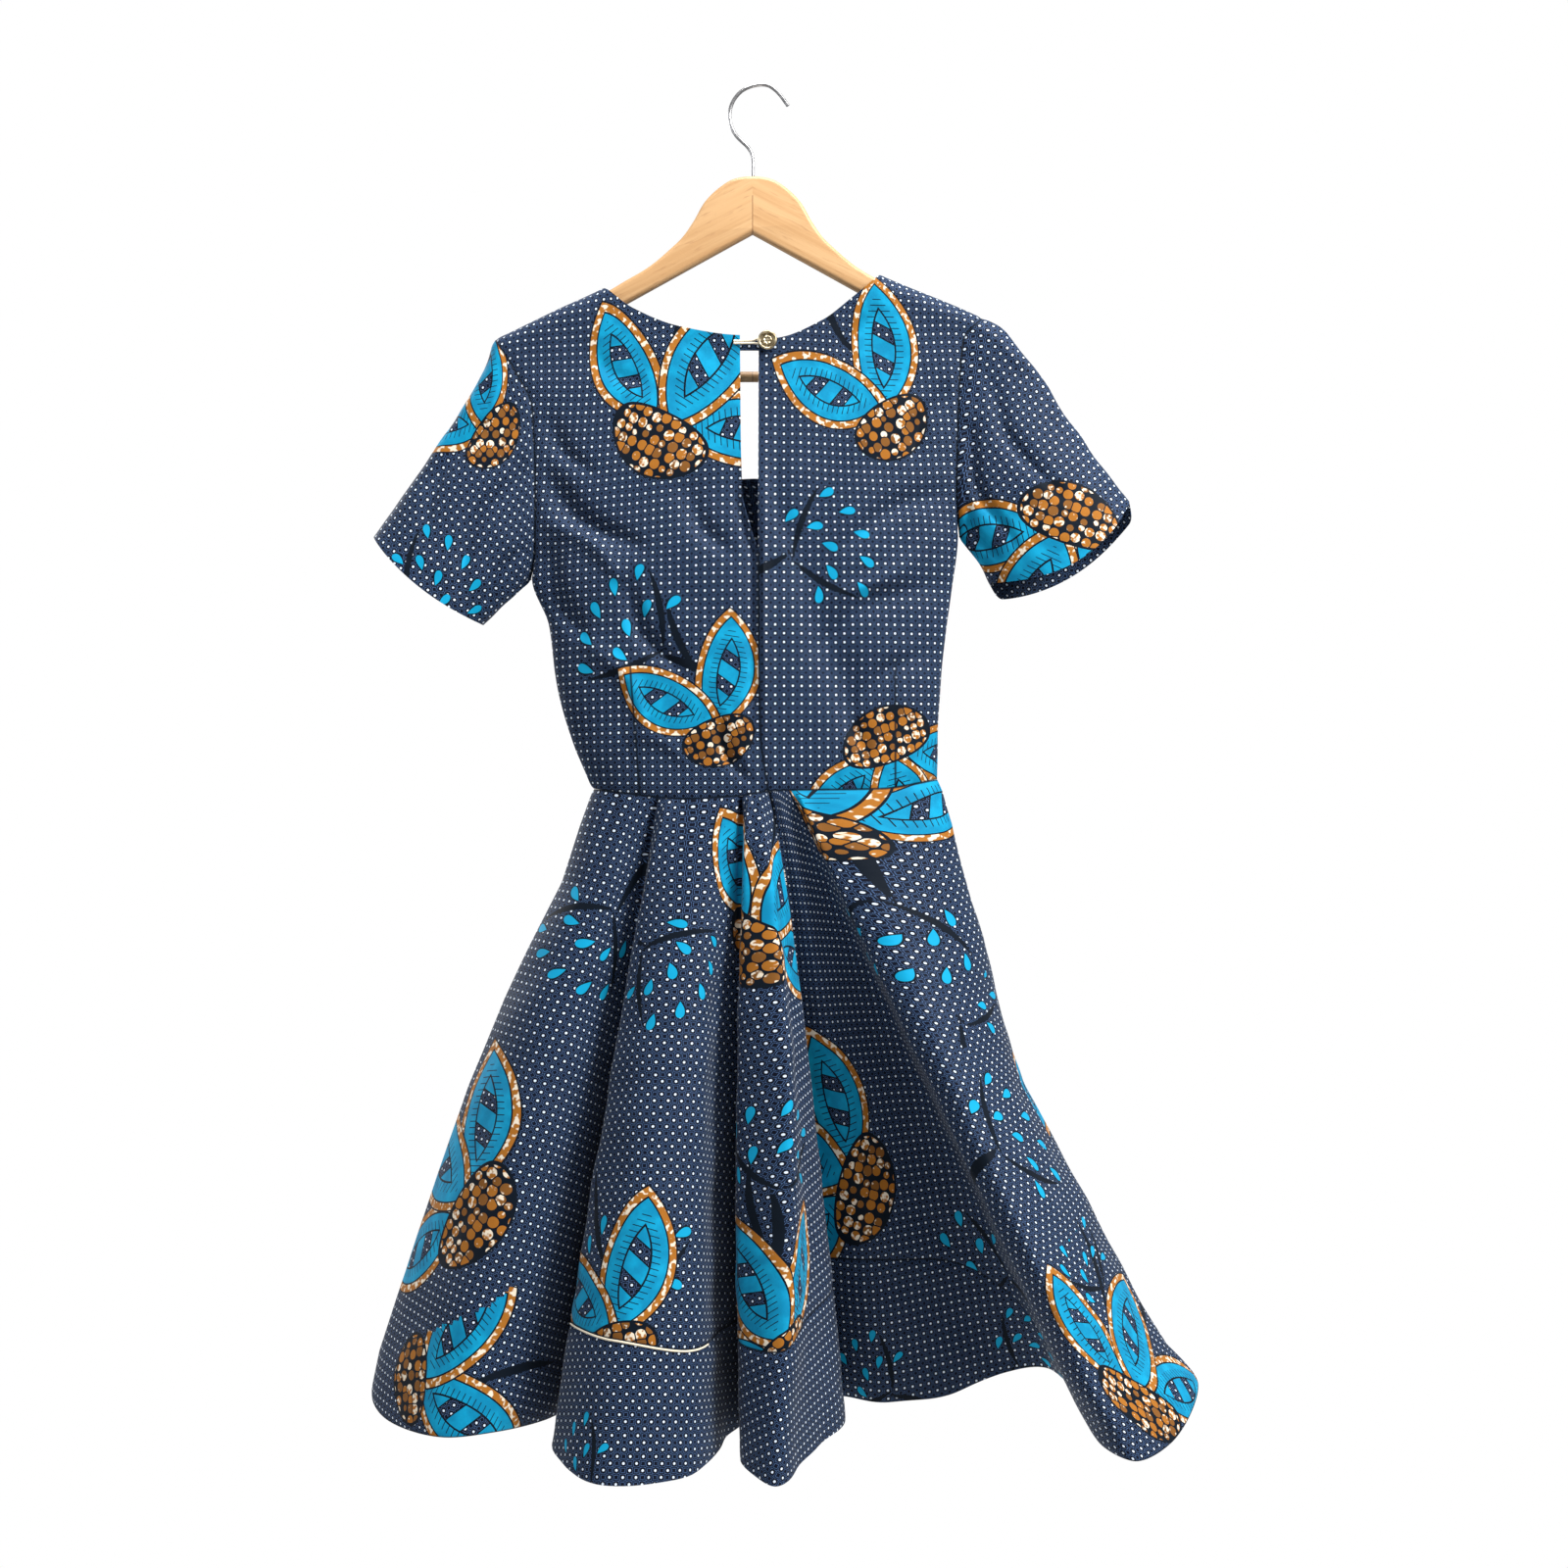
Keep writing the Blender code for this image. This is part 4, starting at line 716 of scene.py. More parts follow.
def make_cloth(shell, motifs, side, look):
    """A closed thin mesh from a shell, with its UV layers, in place of the solid of its name."""
    outer = shell.points
    along_u = np.gradient(outer, axis=0)
    if shell.closed:
        along_u = np.gradient(np.concatenate([outer[-1:], outer, outer[:1]]), axis=0)[1:-1]
    inner = outer - shell.outward(along_u, np.gradient(outer, axis=1)) * THIN
    nu, nv = outer.shape[:2]
    layer = nu * nv
    columns = nu if shell.closed else nu - 1
    i, j = np.meshgrid(np.arange(columns), np.arange(nv - 1), indexing="ij")
    near = i * nv + j
    far = (i + 1) % nu * nv + j
    front = np.stack([near, far, far + 1, near + 1], axis=-1).reshape(-1, 4)
    k = np.arange(columns) * nv
    k2 = (np.arange(columns) + 1) % nu * nv
    top = nv - 1
    rims = [(k, k + layer, k2 + layer, k2), (k + top, k2 + top, k2 + top + layer, k + top + layer)]
    if not shell.closed:
        r = np.arange(nv - 1)
        last = (nu - 1) * nv + r
        rims += [(r, r + 1, r + 1 + layer, r + layer), (last, last + layer, last + 1 + layer, last + 1)]
    faces = np.concatenate([front, front[:, ::-1] + layer] + [np.stack(rim, axis=-1) for rim in rims])
    if shell.flip:
        faces = faces[:, ::-1]
    mesh = bpy.data.meshes.new(shell.name)
    points = np.concatenate([outer.reshape(-1, 3), inner.reshape(-1, 3)])
    mesh.from_pydata(points.tolist(), [], faces.tolist())

    def corners(values):
        """The values at each face's corners, the same on both sides of the cloth."""
        return np.tile(values.reshape(-1, 2), (2, 1))[faces]

    flat = corners(shell.flat)
    if shell.closed:
        width = np.ptp(shell.flat[..., 0])
        wrap = flat[..., 0].max(axis=1) - flat[..., 0].min(axis=1) > width / 2
        girth = np.tile(shell.girth.reshape(-1), 2)[faces]
        flat[..., 0] += np.where(wrap[:, None] & (flat[..., 0] < 0), girth, 0.0)
    leaves = [motif for motif in motifs if motif.kind != "drops"]
    drops = [motif for motif in motifs if motif.kind == "drops"]
    layers = {
        "flat": flat,
        "motif": motif_corners(shell, flat, leaves, side),
        "drops": motif_corners(shell, flat, drops, side),
        "edge": corners(np.stack([shell.seam, shell.finished], axis=-1)),
        "dart": corners(dart_corners(shell)),
    }
    for name, values in layers.items():
        made = mesh.uv_layers.new(name=name)
        made.data.foreach_set("uv", np.ascontiguousarray(values, dtype=np.float32).ravel())
    return declare(put(mesh, look), shell.name.replace("_cloth", ""))


def put(mesh, look, angle=1.0):
    """A mesh in the scene, smooth up to the angle between its faces."""
    mesh.shade_smooth()
    mesh.set_sharp_from_angle(angle=angle)
    mesh.materials.append(look)
    made = bpy.data.objects.new(mesh.name, mesh)
    bpy.context.scene.collection.objects.link(made)
    return made


def put_drawn(drawn, mesh, look, angle=1.0):
    """The same for a bmesh, with its faces turned outwards."""
    bmesh.ops.recalc_face_normals(drawn, faces=drawn.faces)
    drawn.to_mesh(mesh)
    drawn.free()
    return put(mesh, look, angle)


def declare(piece, node):
    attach(piece, "root")
    if node:
        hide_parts(node)
    return piece


# Bodice and sleeves

def fine_columns(side, face):
    neck = neck_share(side, face)
    start = [0.0, 0.008, 0.016, 0.024, 0.034, 0.046] if face < 0 else [0.0]
    return refine(start + [neck, 1.0], BODICE_COLUMN_STEP), neck


def fine_rows(side):
    low = armhole_share(side)
    values = [low * row for row in LOW_ROWS] + [low + (1 - low) * row for row in HIGH_ROWS]
    return refine(values, BODICE_ROW_STEP)


def bodice_flat(shell, sign):
    """Flat coordinates: length across from the centre, and height from the waist."""
    z0 = shell.points[:, :1, 2]
    middle = shell.points[:1, :, 0] if shell.name != "bodice_front_cloth" else 0.0
    shell.flat = np.stack([middle + sign * shell.across, z0 + shell.up], axis=-1)


def lap_height(shell, sign):
    """The centre back seam: the right panel stands proud beside it, the left one dips."""
    away = shell.distance("u0")
    z = shell.points[..., 2]
    strength = smooth_share(-z, 0.30, 0.40) * (1 - 0.75 * smooth_share(-z, 0.50, 0.60))
    rise = np.exp(-((away - LAP_PLACE) / LAP_WIDTH) ** 2) * (1 - np.exp(-away / LAP_START))
    return rise * strength * (LAP_RISE if sign > 0 else LAP_SINK)


def make_back(side, name, creases, motifs, look):
    columns, neck = fine_columns(side, -1)
    us, vs = np.meshgrid(columns, fine_rows(side), indexing="ij")
    shell = Shell(name, lambda u, v: bodice(side, -1, u, v), us, vs, flip=side.sign < 0)
    bodice_flat(shell, side.sign)
    below_slit = shell.points[..., 2] < SLIT_FOOT_Z
    shell.sewn("u0", below_slit)
    shell.hemmed("u0", ~below_slit)
    shell.sewn("u1")
    shell.sewn("v0")
    shell.sewn("v1", us >= neck)
    shell.hemmed("v1", us < neck)
    shell.darted = True
    height = crease_height(shell.points, creases) + RUMPLE_HEIGHT * shell.rumpled(RUMPLE_BACK)
    height = height * shell.calm() + crease_height(shell.points, DARTS)
    height += lap_height(shell, side.sign)
    height -= shell.dip()
    pucker = swell(shell.distance("v0"), PUCKER_REACH, PUCKER_START)
    run = shell.flat[..., 0]
    height += PUCKER_HEIGHT * pucker * np.sin(run / 0.0034 + 1.5 * np.sin(run / 0.011))
    shell.push(height)
    return make_cloth(shell, motifs, -1, look)


def make_front(look):
    left, neck_left = fine_columns(LEFT, 1)
    right, neck_right = fine_columns(RIGHT, 1)
    columns = np.concatenate([-left[::-1], right[1:]])
    us, left_rows = np.meshgrid(columns, fine_rows(LEFT), indexing="ij")
    rows = fine_rows(RIGHT)
    right_rows = np.interp(np.linspace(0, 1, left_rows.shape[1]), np.linspace(0, 1, len(rows)), rows)
    weight = (us + 1) / 2
    vs = left_rows * (1 - weight) + right_rows * weight

    def surface(u, v):
        share = np.clip(0.5 + u / (2 * FRONT_BLEND), 0, 1)[..., None]
        share = np.where(np.abs(u)[..., None] > FRONT_BLEND, (u > 0)[..., None], share)
        return bodice(LEFT, 1, np.abs(u), v) * (1 - share) + bodice(RIGHT, 1, np.abs(u), v) * share

    shell = Shell("bodice_front_cloth", surface, us, vs, flip=True)
    bodice_flat(shell, 1)
    in_neck = (us > -neck_left) & (us < neck_right)
    for edge in ("u0", "u1", "v0"):
        shell.sewn(edge)
    shell.sewn("v1", ~in_neck)
    shell.hemmed("v1", in_neck)
    height = crease_height(shell.points, FRONT_CREASES) + RUMPLE_HEIGHT * shell.rumpled(RUMPLE_FRONT)
    shell.push(height * shell.calm() - shell.dip())
    return make_cloth(shell, FRONT_MOTIFS, 1, look)


# How far the front half of each cuff hangs past the back half.
FAR_CUFF_DROP = {-1: 0.0, 1: 0.0095}


def make_sleeve(side, name, creases, motifs, look):
    turns = np.linspace(0, 1, SLEEVE_COLUMNS, endpoint=False)
    shares = refine([0.0, 0.04, 0.12, 0.88, 0.985, 1.0], SLEEVE_ROW_STEP)
    us, vs = np.meshgrid(turns, shares, indexing="ij")
    shell = Shell(name, lambda u, v: sleeve(side, u, v), us, vs, flip=side.sign > 0, closed=True)

    def direction():
        return unit(shell.points[:, -1].mean(axis=0) - shell.points[:, 0].mean(axis=0))

    far = smooth_share(shell.normal[..., 1], -0.1, 0.7) * smooth_share(vs, 0.55, 1.0)
    fall = direction() + (0.0, 0.0, -0.6)
    shell.points = shell.points + (far * FAR_CUFF_DROP[side.sign])[..., None] * fall
    axis = direction()
    along = shell.points @ axis
    ring = shell.points - along[..., None] * axis
    ring = running(np.concatenate([ring, ring[:1]]), 0)
    shell.girth = np.broadcast_to(ring[-1], us.shape)
    shell.flat = np.stack([ring[:-1] - ring[-1] / 2, -along], axis=-1)
    shell.sewn("v0")
    shell.hemmed("v1")
    facing = np.where(shell.normal[..., 1] < 0, 1.0, 0.7)
    height = crease_height(shell.points, creases) * facing
    height += SLEEVE_RUMPLE_HEIGHT * rumple(shell.points[..., 0] * 1.4, shell.points[..., 2], SLEEVE_RUMPLE)
    height = height * shell.calm() - shell.dip()
    gathers = GATHER_HEIGHT * swell(shell.seam, GATHER_REACH, GATHER_START)
    height += gathers * np.sin(us * 120 + np.sin(us * 31))
    shell.push(height)
    return make_cloth(shell, motifs, -1, look)


# Skirt

def fold_columns(first, last, per_fold):
    names = list(RING.at)
    start = names.index(first)
    stop = names.index(last) if last != names[0] else len(names)
    knots = np.append(RING.knots, RING.period)[start:stop + 1]
    steps = [np.linspace(a, b, per_fold, endpoint=False) for a, b in zip(knots[:-1], knots[1:])]
    return np.append(np.concatenate(steps), knots[-1])


# Ease of the skirt's two outlines: height, the outline's x and how far it moves, in metres.
EASE_LEFT = np.array((
    (-1.18, -0.338, 0.007), (-1.149, -0.3375, 0.006), (-1.124, -0.335, 0.001), (-1.098, -0.33, -0.0034),
    (-1.02, -0.301, -0.007), (-0.945, -0.273, -0.0102), (-0.868, -0.244, -0.012), (-0.79, -0.215, -0.009),
    (-0.741, -0.196, -0.004), (-0.69, -0.178, 0.003), (-0.64, -0.158, 0.0004), (-0.605, -0.15, 0.0)))
EASE_RIGHT = np.array((
    (-1.180, 0.375, 0.0), (-1.149, 0.373, 0.0004), (-1.124, 0.370, -0.0020), (-1.098, 0.366, -0.0110),
    (-1.060, 0.342, -0.0110), (-1.020, 0.320, -0.0085), (-0.970, 0.290, -0.0055), (-0.920, 0.264, -0.0077),
    (-0.868, 0.239, -0.0105), (-0.840, 0.226, -0.0075), (-0.790, 0.205, 0.0), (-0.741, 0.1845, 0.0077),
    (-0.690, 0.168, 0.0085), (-0.639, 0.156, 0.0077), (-0.612, 0.152, 0.0038), (-0.600, 0.150, 0.0)))
EASE_MIDDLE = 0.010


def draped(t, s):
    """The skirt with its outlines eased outwards or inwards, most at the edge and nothing in the middle."""
    points = skirt(t, s)
    across = points[..., 0] - EASE_MIDDLE
    moved = np.zeros(across.shape)
    for ease, side in ((EASE_LEFT, -1), (EASE_RIGHT, 1)):
        edge = np.interp(points[..., 2], ease[:, 0], ease[:, 1]) - EASE_MIDDLE
        share = smooth_share(across / edge, 0.55, 1.0)
        moved += np.where(across * side > 0, share * np.interp(points[..., 2], ease[:, 0], ease[:, 2]), 0.0)
    return points + moved[..., None] * np.array([1.0, 0.0, 0.0])


def tuck_height(t, s):
    """Tucks below the waist: deepest just under the seam, gone at their reach."""
    total = np.zeros(np.broadcast(t, s).shape)
    for tuck in TUCKS:
        knot = RING.at[tuck.place]
        spread = tuck.width * 0.35
        fade = np.clip(s / 0.012, 0, 1) * np.exp(-(s / tuck.reach) ** 2)
        total += tuck.depth * np.exp(-((t - knot) / spread) ** 2) * fade
    return total


class ConeFlat:
    """The skirt piece laid flat: a part of a ring, its grain along one column."""

    def __init__(self, first, last, grain):
        stop = RING.period if last == "left side seam" else RING.at[last]
        self.ts = np.linspace(RING.at[first], stop, FLAT_SAMPLES)
        hem = running(skirt(self.ts[:, None], np.ones((FLAT_SAMPLES, 1))), 0)[:, 0]
        waist = running(skirt(self.ts[:, None], np.zeros((FLAT_SAMPLES, 1))), 0)[:, 0]
        lines = running(skirt(self.ts[::20, None], np.linspace(0, 1, 30)[None, :]), 1)[:, -1]
        length = float(lines.mean())
        self.inner = length * waist[-1] / (hem[-1] - waist[-1])
        self.angles = hem / (self.inner + length)
        self.grain = np.interp(RING.at[grain], self.ts, self.angles)

    def __call__(self, t, down):
        angle = np.interp(t, self.ts, self.angles) - self.grain
        radius = self.inner + down
        return np.stack([radius * np.sin(angle), -radius * np.cos(angle)], axis=-1)


def make_skirt_piece(cut, look):
    ts, shares = np.meshgrid(cut.columns, cut.rows, indexing="ij")
    start = cut.top[:, None]
    ss = start + (cut.bottom[:, None] - start) * shares
    shell = Shell(cut.name, draped, ts, ss, flip=True)
    above = skirt(cut.columns, cut.top) - skirt(cut.columns, np.zeros_like(cut.columns))
    shell.flat = cut.flat(ts, np.linalg.norm(above, axis=-1)[:, None] + running(skirt(ts, ss), 1))
    for edge in cut.sewn:
        shell.sewn(edge)
    if cut.hemmed:
        shell.hemmed("v1")
    height = tuck_height(ts, ss)
    calm = smooth_share(shell.seam, 0.0, 0.02)
    height += calm * SKIRT_RUMPLE_HEIGHT * shell.rumpled(SKIRT_RUMPLE) * np.clip(ss * 3, 0.2, 1)
    height -= shell.dip()
    if cut.hemmed:
        wave = np.sin(shell.flat[..., 0] / 0.009 + 1.3 * np.sin(shell.flat[..., 1] / 0.021))
        height += HEM_WAVE_HEIGHT * wave * np.exp(-shell.finished / HEM_WAVE_REACH)
    shell.push(height)
    return make_cloth(shell, cut.motifs, cut.side, look)


def make_skirt(look):
    """The back quarters, the lengths pieced on below them, and the front, in that order."""
    rows = refine([0.0, 0.02, 0.1, 1.0], SKIRT_ROW_STEP)
    short = refine([0.0, 0.1, 0.9, 1.0], HEM_ROW_STEP)
    sides = ("u0", "u1", "v0")
    quarters = []
    lengths = []
    backs = (
        ("left", "left side seam", "centre back", 13, LEFT_JOIN, SKIRT_LEFT_MOTIFS, HEM_LEFT_MOTIFS),
        ("right", "centre back", "right side seam", 15, RIGHT_JOIN, SKIRT_RIGHT_MOTIFS, HEM_RIGHT_MOTIFS),
    )
    for name, first, last, per_fold, places, motifs, hem_motifs in backs:
        ts = fold_columns(first, last, per_fold)
        flat = ConeFlat(first, last, "centre back")
        join = join_share(places, ts)
        low = join < JOIN_ENDS
        quarters.append(Cut(f"skirt_back_{name}_cloth", ts, np.zeros_like(ts), join, rows, flat,
                            sides + ("v1",), False, motifs, -1))
        lengths.append(Cut(f"skirt_hem_piece_{name}_cloth", ts[low], join[low], np.ones_like(ts[low]),
                           short, flat, sides, True, hem_motifs, -1))
    ts = fold_columns("right side seam", "left side seam", 11)
    flat = ConeFlat("right side seam", "left side seam", "front valley 3")
    front = Cut("skirt_front_cloth", ts, np.zeros_like(ts), np.ones_like(ts), rows, flat,
                sides, True, SKIRT_FRONT_MOTIFS, 1)
    return [make_skirt_piece(cut, look) for cut in quarters + lengths + [front]]


# Shader arithmetic

def operation(kind, swap=False):
    """A method of Num that adds one math node."""
    return lambda self, other=None: self.math(kind, other, swap)


class Num:
    """A shader value that adds, multiplies and compares like a number."""

    def __init__(self, tree, socket):
        self.tree = tree
        self.socket = socket

    def math(self, kind, other=None, swap=False):
        node = self.tree.nodes.new("ShaderNodeMath")
        node.operation = kind
        feed(self.tree, self, node.inputs[int(swap)])
        if other is not None:
            feed(self.tree, other, node.inputs[int(not swap)])
        return Num(self.tree, node.outputs[0])

    def step(self, low, high):
        """0 up to low and 1 from high, smooth between them."""
        node = self.tree.nodes.new("ShaderNodeMapRange")
        node.interpolation_type = "SMOOTHSTEP"
        feed(self.tree, self, node.inputs[0])
        node.inputs[1].default_value = low
        node.inputs[2].default_value = high
        return Num(self.tree, node.outputs[0])

    __add__ = __radd__ = operation("ADD")
    __sub__ = operation("SUBTRACT")
    __rsub__ = operation("SUBTRACT", swap=True)
    __mul__ = __rmul__ = operation("MULTIPLY")
    __truediv__ = operation("DIVIDE")
    __abs__ = operation("ABSOLUTE")
    root = operation("SQRT")
    sine = operation("SINE")
    fraction = operation("FRACT")
    bearing = operation("ARCTAN2")
    least = operation("MINIMUM")
    most = operation("MAXIMUM")
    under = operation("LESS_THAN")
    over = operation("GREATER_THAN")


def feed(tree, value, socket):
    if isinstance(value, Num):
        tree.links.new(value.socket, socket)
    elif isinstance(value, bpy.types.NodeSocket):
        tree.links.new(value, socket)
    else:
        socket.default_value = value


def give(node, values):
    """Set a node's inputs that don't vary."""
    for name, value in values.items():
        node.inputs[name].default_value = value


def blend_colour(tree, share, first, second):
    node = tree.nodes.new("ShaderNodeMix")
    node.data_type = "RGBA"
    feed(tree, share, node.inputs[0])
    feed(tree, first, node.inputs[6])
    feed(tree, second, node.inputs[7])
    return node.outputs[2]


def layered(tree, colour, *layers):
    """Colours laid one over another, each with its share."""
    for share, over in layers:
        colour = blend_colour(tree, share, colour, over)
    return colour


def bumped(tree, shader, height, strength, distance):
    node = tree.nodes.new("ShaderNodeBump")
    give(node, {"Strength": strength, "Distance": distance})
    feed(tree, height, node.inputs["Height"])
    tree.links.new(node.outputs[0], shader.inputs["Normal"])


def own_place(tree):
    """A point's place in the object's own coordinates: the vector, then x, y and z."""
    place = tree.nodes.new("ShaderNodeTexCoord").outputs["Object"]
    split = tree.nodes.new("ShaderNodeSeparateXYZ")
    tree.links.new(place, split.inputs[0])
    return place, *[Num(tree, output) for output in split.outputs]


def uv(tree, name):
    node = tree.nodes.new("ShaderNodeUVMap")
    node.uv_map = name
    split = tree.nodes.new("ShaderNodeSeparateXYZ")
    tree.links.new(node.outputs[0], split.inputs[0])
    return Num(tree, split.outputs[0]), Num(tree, split.outputs[1]), node.outputs[0]


def noise(tree, vector, scale, detail=2.0, stretch=None):
    if stretch is not None:
        mapped = tree.nodes.new("ShaderNodeMapping")
        give(mapped, {"Scale": stretch})
        tree.links.new(vector, mapped.inputs[0])
        vector = mapped.outputs[0]
    node = tree.nodes.new("ShaderNodeTexNoise")
    give(node, {"Scale": scale, "Detail": detail})
    tree.links.new(vector, node.inputs["Vector"])
    return Num(tree, node.outputs[0])


def srgb(red, green, blue):
    """A colour on the 0 to 255 scale as the shader's linear values."""
    share = np.array([red, green, blue]) / 255
    linear = np.where(share <= 0.04045, share / 12.92, ((share + 0.055) / 1.055) ** 2.4)
    return (*[float(part) for part in linear], 1.0)


def new_look(name, roughness, **values):
    """A material with its node tree and shader, and the shader's inputs that don't vary."""
    look = bpy.data.materials.new(name)
    look.use_nodes = True
    shader = look.node_tree.nodes["Principled BSDF"]
    give(shader, {"Roughness": roughness})
    give(shader, {key.replace("_", " "): value for key, value in values.items()})
    return look, look.node_tree, shader


# The print's dark ink; the same colour is the painted shade along seams and darts.
INK_AND_PAINTED_SHADE = srgb(3, 15, 28)
GROUND = srgb(2, 8, 26)
MESH = srgb(82, 112, 158)
DOT = srgb(214, 227, 244)
TURQUOISE = srgb(8, 152, 196)
TURQUOISE_DEEP = srgb(4, 127, 170)
OCHRE = srgb(160, 101, 34)
CREAM = srgb(230, 218, 198)
BROWN = srgb(124, 80, 34)

LATTICE = 0.0075
# Shares of one cell of the ground: its two mesh lines, their beads, the dark ring and the dot.
MESH_NEAR = 0.455
MESH_FAR = 0.690
BEAD = 0.16
RING_SIZE = 0.330
DOT_EDGE = (0.122, 0.156)
# Shares of a leaf's half width, in from its outline (0) to its middle (-1), and its ticks' pitch.
TICK_END = -0.42
VEIN = -0.66
HEART = -0.684
TICK_PITCH = 0.0052
RIM = 0.0062
LINE = 0.0014
DROP_LENGTH = 0.0165
DROP_WIDTH = 0.0078
DROP_RIM = 0.0013
THREAD = 0.0009
# Arcs of drops about one centre: radius, drops in a full turn, lean in degrees and half the sector.
DROP_CENTRE = (0.0, -0.046)
DROP_ARCS = ((0.044, 11, 44, 82), (0.078, 18, 34, 50))
SPRIG_LEAVES = table(Leaf, (
    (-0.066, -0.034, -56, 0.132, 0.066, -2.4), (0.062, -0.03, 60, 0.124, 0.062, 2.6),
    (-0.006, -0.07, -6, 0.142, 0.074, 1.4),
))
PAIR_LEAVES = table(Leaf, ((0.966, -0.052, -30, 0.136, 0.068, -2.2), (1.04, -0.046, 42, 0.124, 0.064, 2.4)))
SPRIG_HEAD = (0.0, 0.014, 0.046, 0.027)
PAIR_HEAD = (1.000, 0.014, 0.038, 0.025)
STEMS = table(Leaf, (
    (-0.05, -0.118, -26, 0.096, 0.0085, 4.0), (0.044, -0.116, 26, 0.092, 0.0085, -4.0),
    (1.004, -0.104, 4, 0.1, 0.008, 3.0),
))
DROP_STEMS = table(Leaf, (
    (0.0, -0.08, 4, 0.09, 0.0085, 2.5), (0.031, -0.02, -50, 0.08, 0.0062, 3.0),
    (-0.031, -0.02, 50, 0.08, 0.0062, -3.0),
))
PEBBLES = 104.0


def leaf_field(x, y, leaf):
    """Distance outside a leaf's outline, and its own coordinates across and along."""
    cosine = float(np.cos(np.radians(leaf.turn)))
    sine = float(np.sin(np.radians(leaf.turn)))
    dx = x - leaf.x
    dy = y - leaf.y
    across = dx * cosine + dy * sine
    up = dy * cosine - dx * sine
    across = across + up * up * leaf.bend
    half_length = leaf.length / 2
    half_width = leaf.width / 2
    radius = (half_length ** 2 + half_width ** 2) / (2 * half_width)
    beside = abs(across) + (radius - half_width)
    return (beside * beside + up * up).root() - radius, across, up


def nearest_leaf(x, y, leaves):
    """The nearest leaf's distance in metres, the same as a share of its half width, and its coordinates."""
    fields = [leaf_field(x, y, leaf) for leaf in leaves]
    distance, across, up = fields[0]
    share = distance / (leaves[0].width / 2)
    for leaf, (other, other_across, other_up) in zip(leaves[1:], fields[1:]):
        nearer = other.under(distance).most(other.under(LINE))
        share = share + (other / (leaf.width / 2) - share) * nearer
        across = across + (other_across - across) * nearer
        up = up + (other_up - up) * nearer
        distance = distance + (other - distance) * nearer
    return distance, share, across, up


def lattice_colour(tree, u, v, fuzz):
    """White dots in dark rings, held in a fine slanting mesh of pale lines on navy."""
    a = (u / LATTICE).fraction() - 0.5
    b = (v / LATTICE).fraction() - 0.5
    size = (a * a + b * b).root() + (fuzz - 0.5) * 0.05
    slant = abs(a) + abs(b) + (fuzz - 0.5) * 0.10
    near = 1 - abs(slant - MESH_NEAR).step(0.020, 0.058)
    far = 1 - abs(slant - MESH_FAR).step(0.016, 0.052)
    across = abs(abs(a) - abs(b)) / BEAD
    beads = (across * (2 * pi)).sine().step(-0.75, 0.1)
    colour = blend_colour(tree, near.most(far) * (beads * 0.75 + 0.25), GROUND, MESH)
    colour = blend_colour(tree, size.under(RING_SIZE), colour, GROUND)
    return blend_colour(tree, 1 - size.step(*DOT_EDGE), colour, DOT)


def drop_mask(x, y):
    """Arcs of drops: 1 inside a drop, and the same a little larger."""
    dx = x - DROP_CENTRE[0]
    dy = y - DROP_CENTRE[1]
    radius = (dx * dx + dy * dy).root()
    bearing = dx.bearing(dy)
    fill = None
    for arc, count, lean, sector in DROP_ARCS:
        pitch = 2 * pi / count
        cosine = float(np.cos(np.radians(lean)))
        sine = float(np.sin(np.radians(lean)))
        out = radius - arc
        beside = ((bearing / pitch + 0.5).fraction() - 0.5) * (pitch * arc)
        along = out * cosine + beside * sine
        across = beside * cosine - out * sine
        share = (DROP_LENGTH / 2 - along) / DROP_LENGTH
        inside = share.most(0.0).least(1.0)
        half = inside.root() * (1 - inside) * (DROP_WIDTH * 1.3)
        shown = abs(bearing).under(float(np.radians(sector)))
        hit = abs(across) - half + (1 - shown) * 1.0 + share.under(0.0) * 0.5 + share.over(1.0) * 0.5
        fill = hit if fill is None else fill.least(hit)
    return fill.under(0.0), fill.under(DROP_RIM)


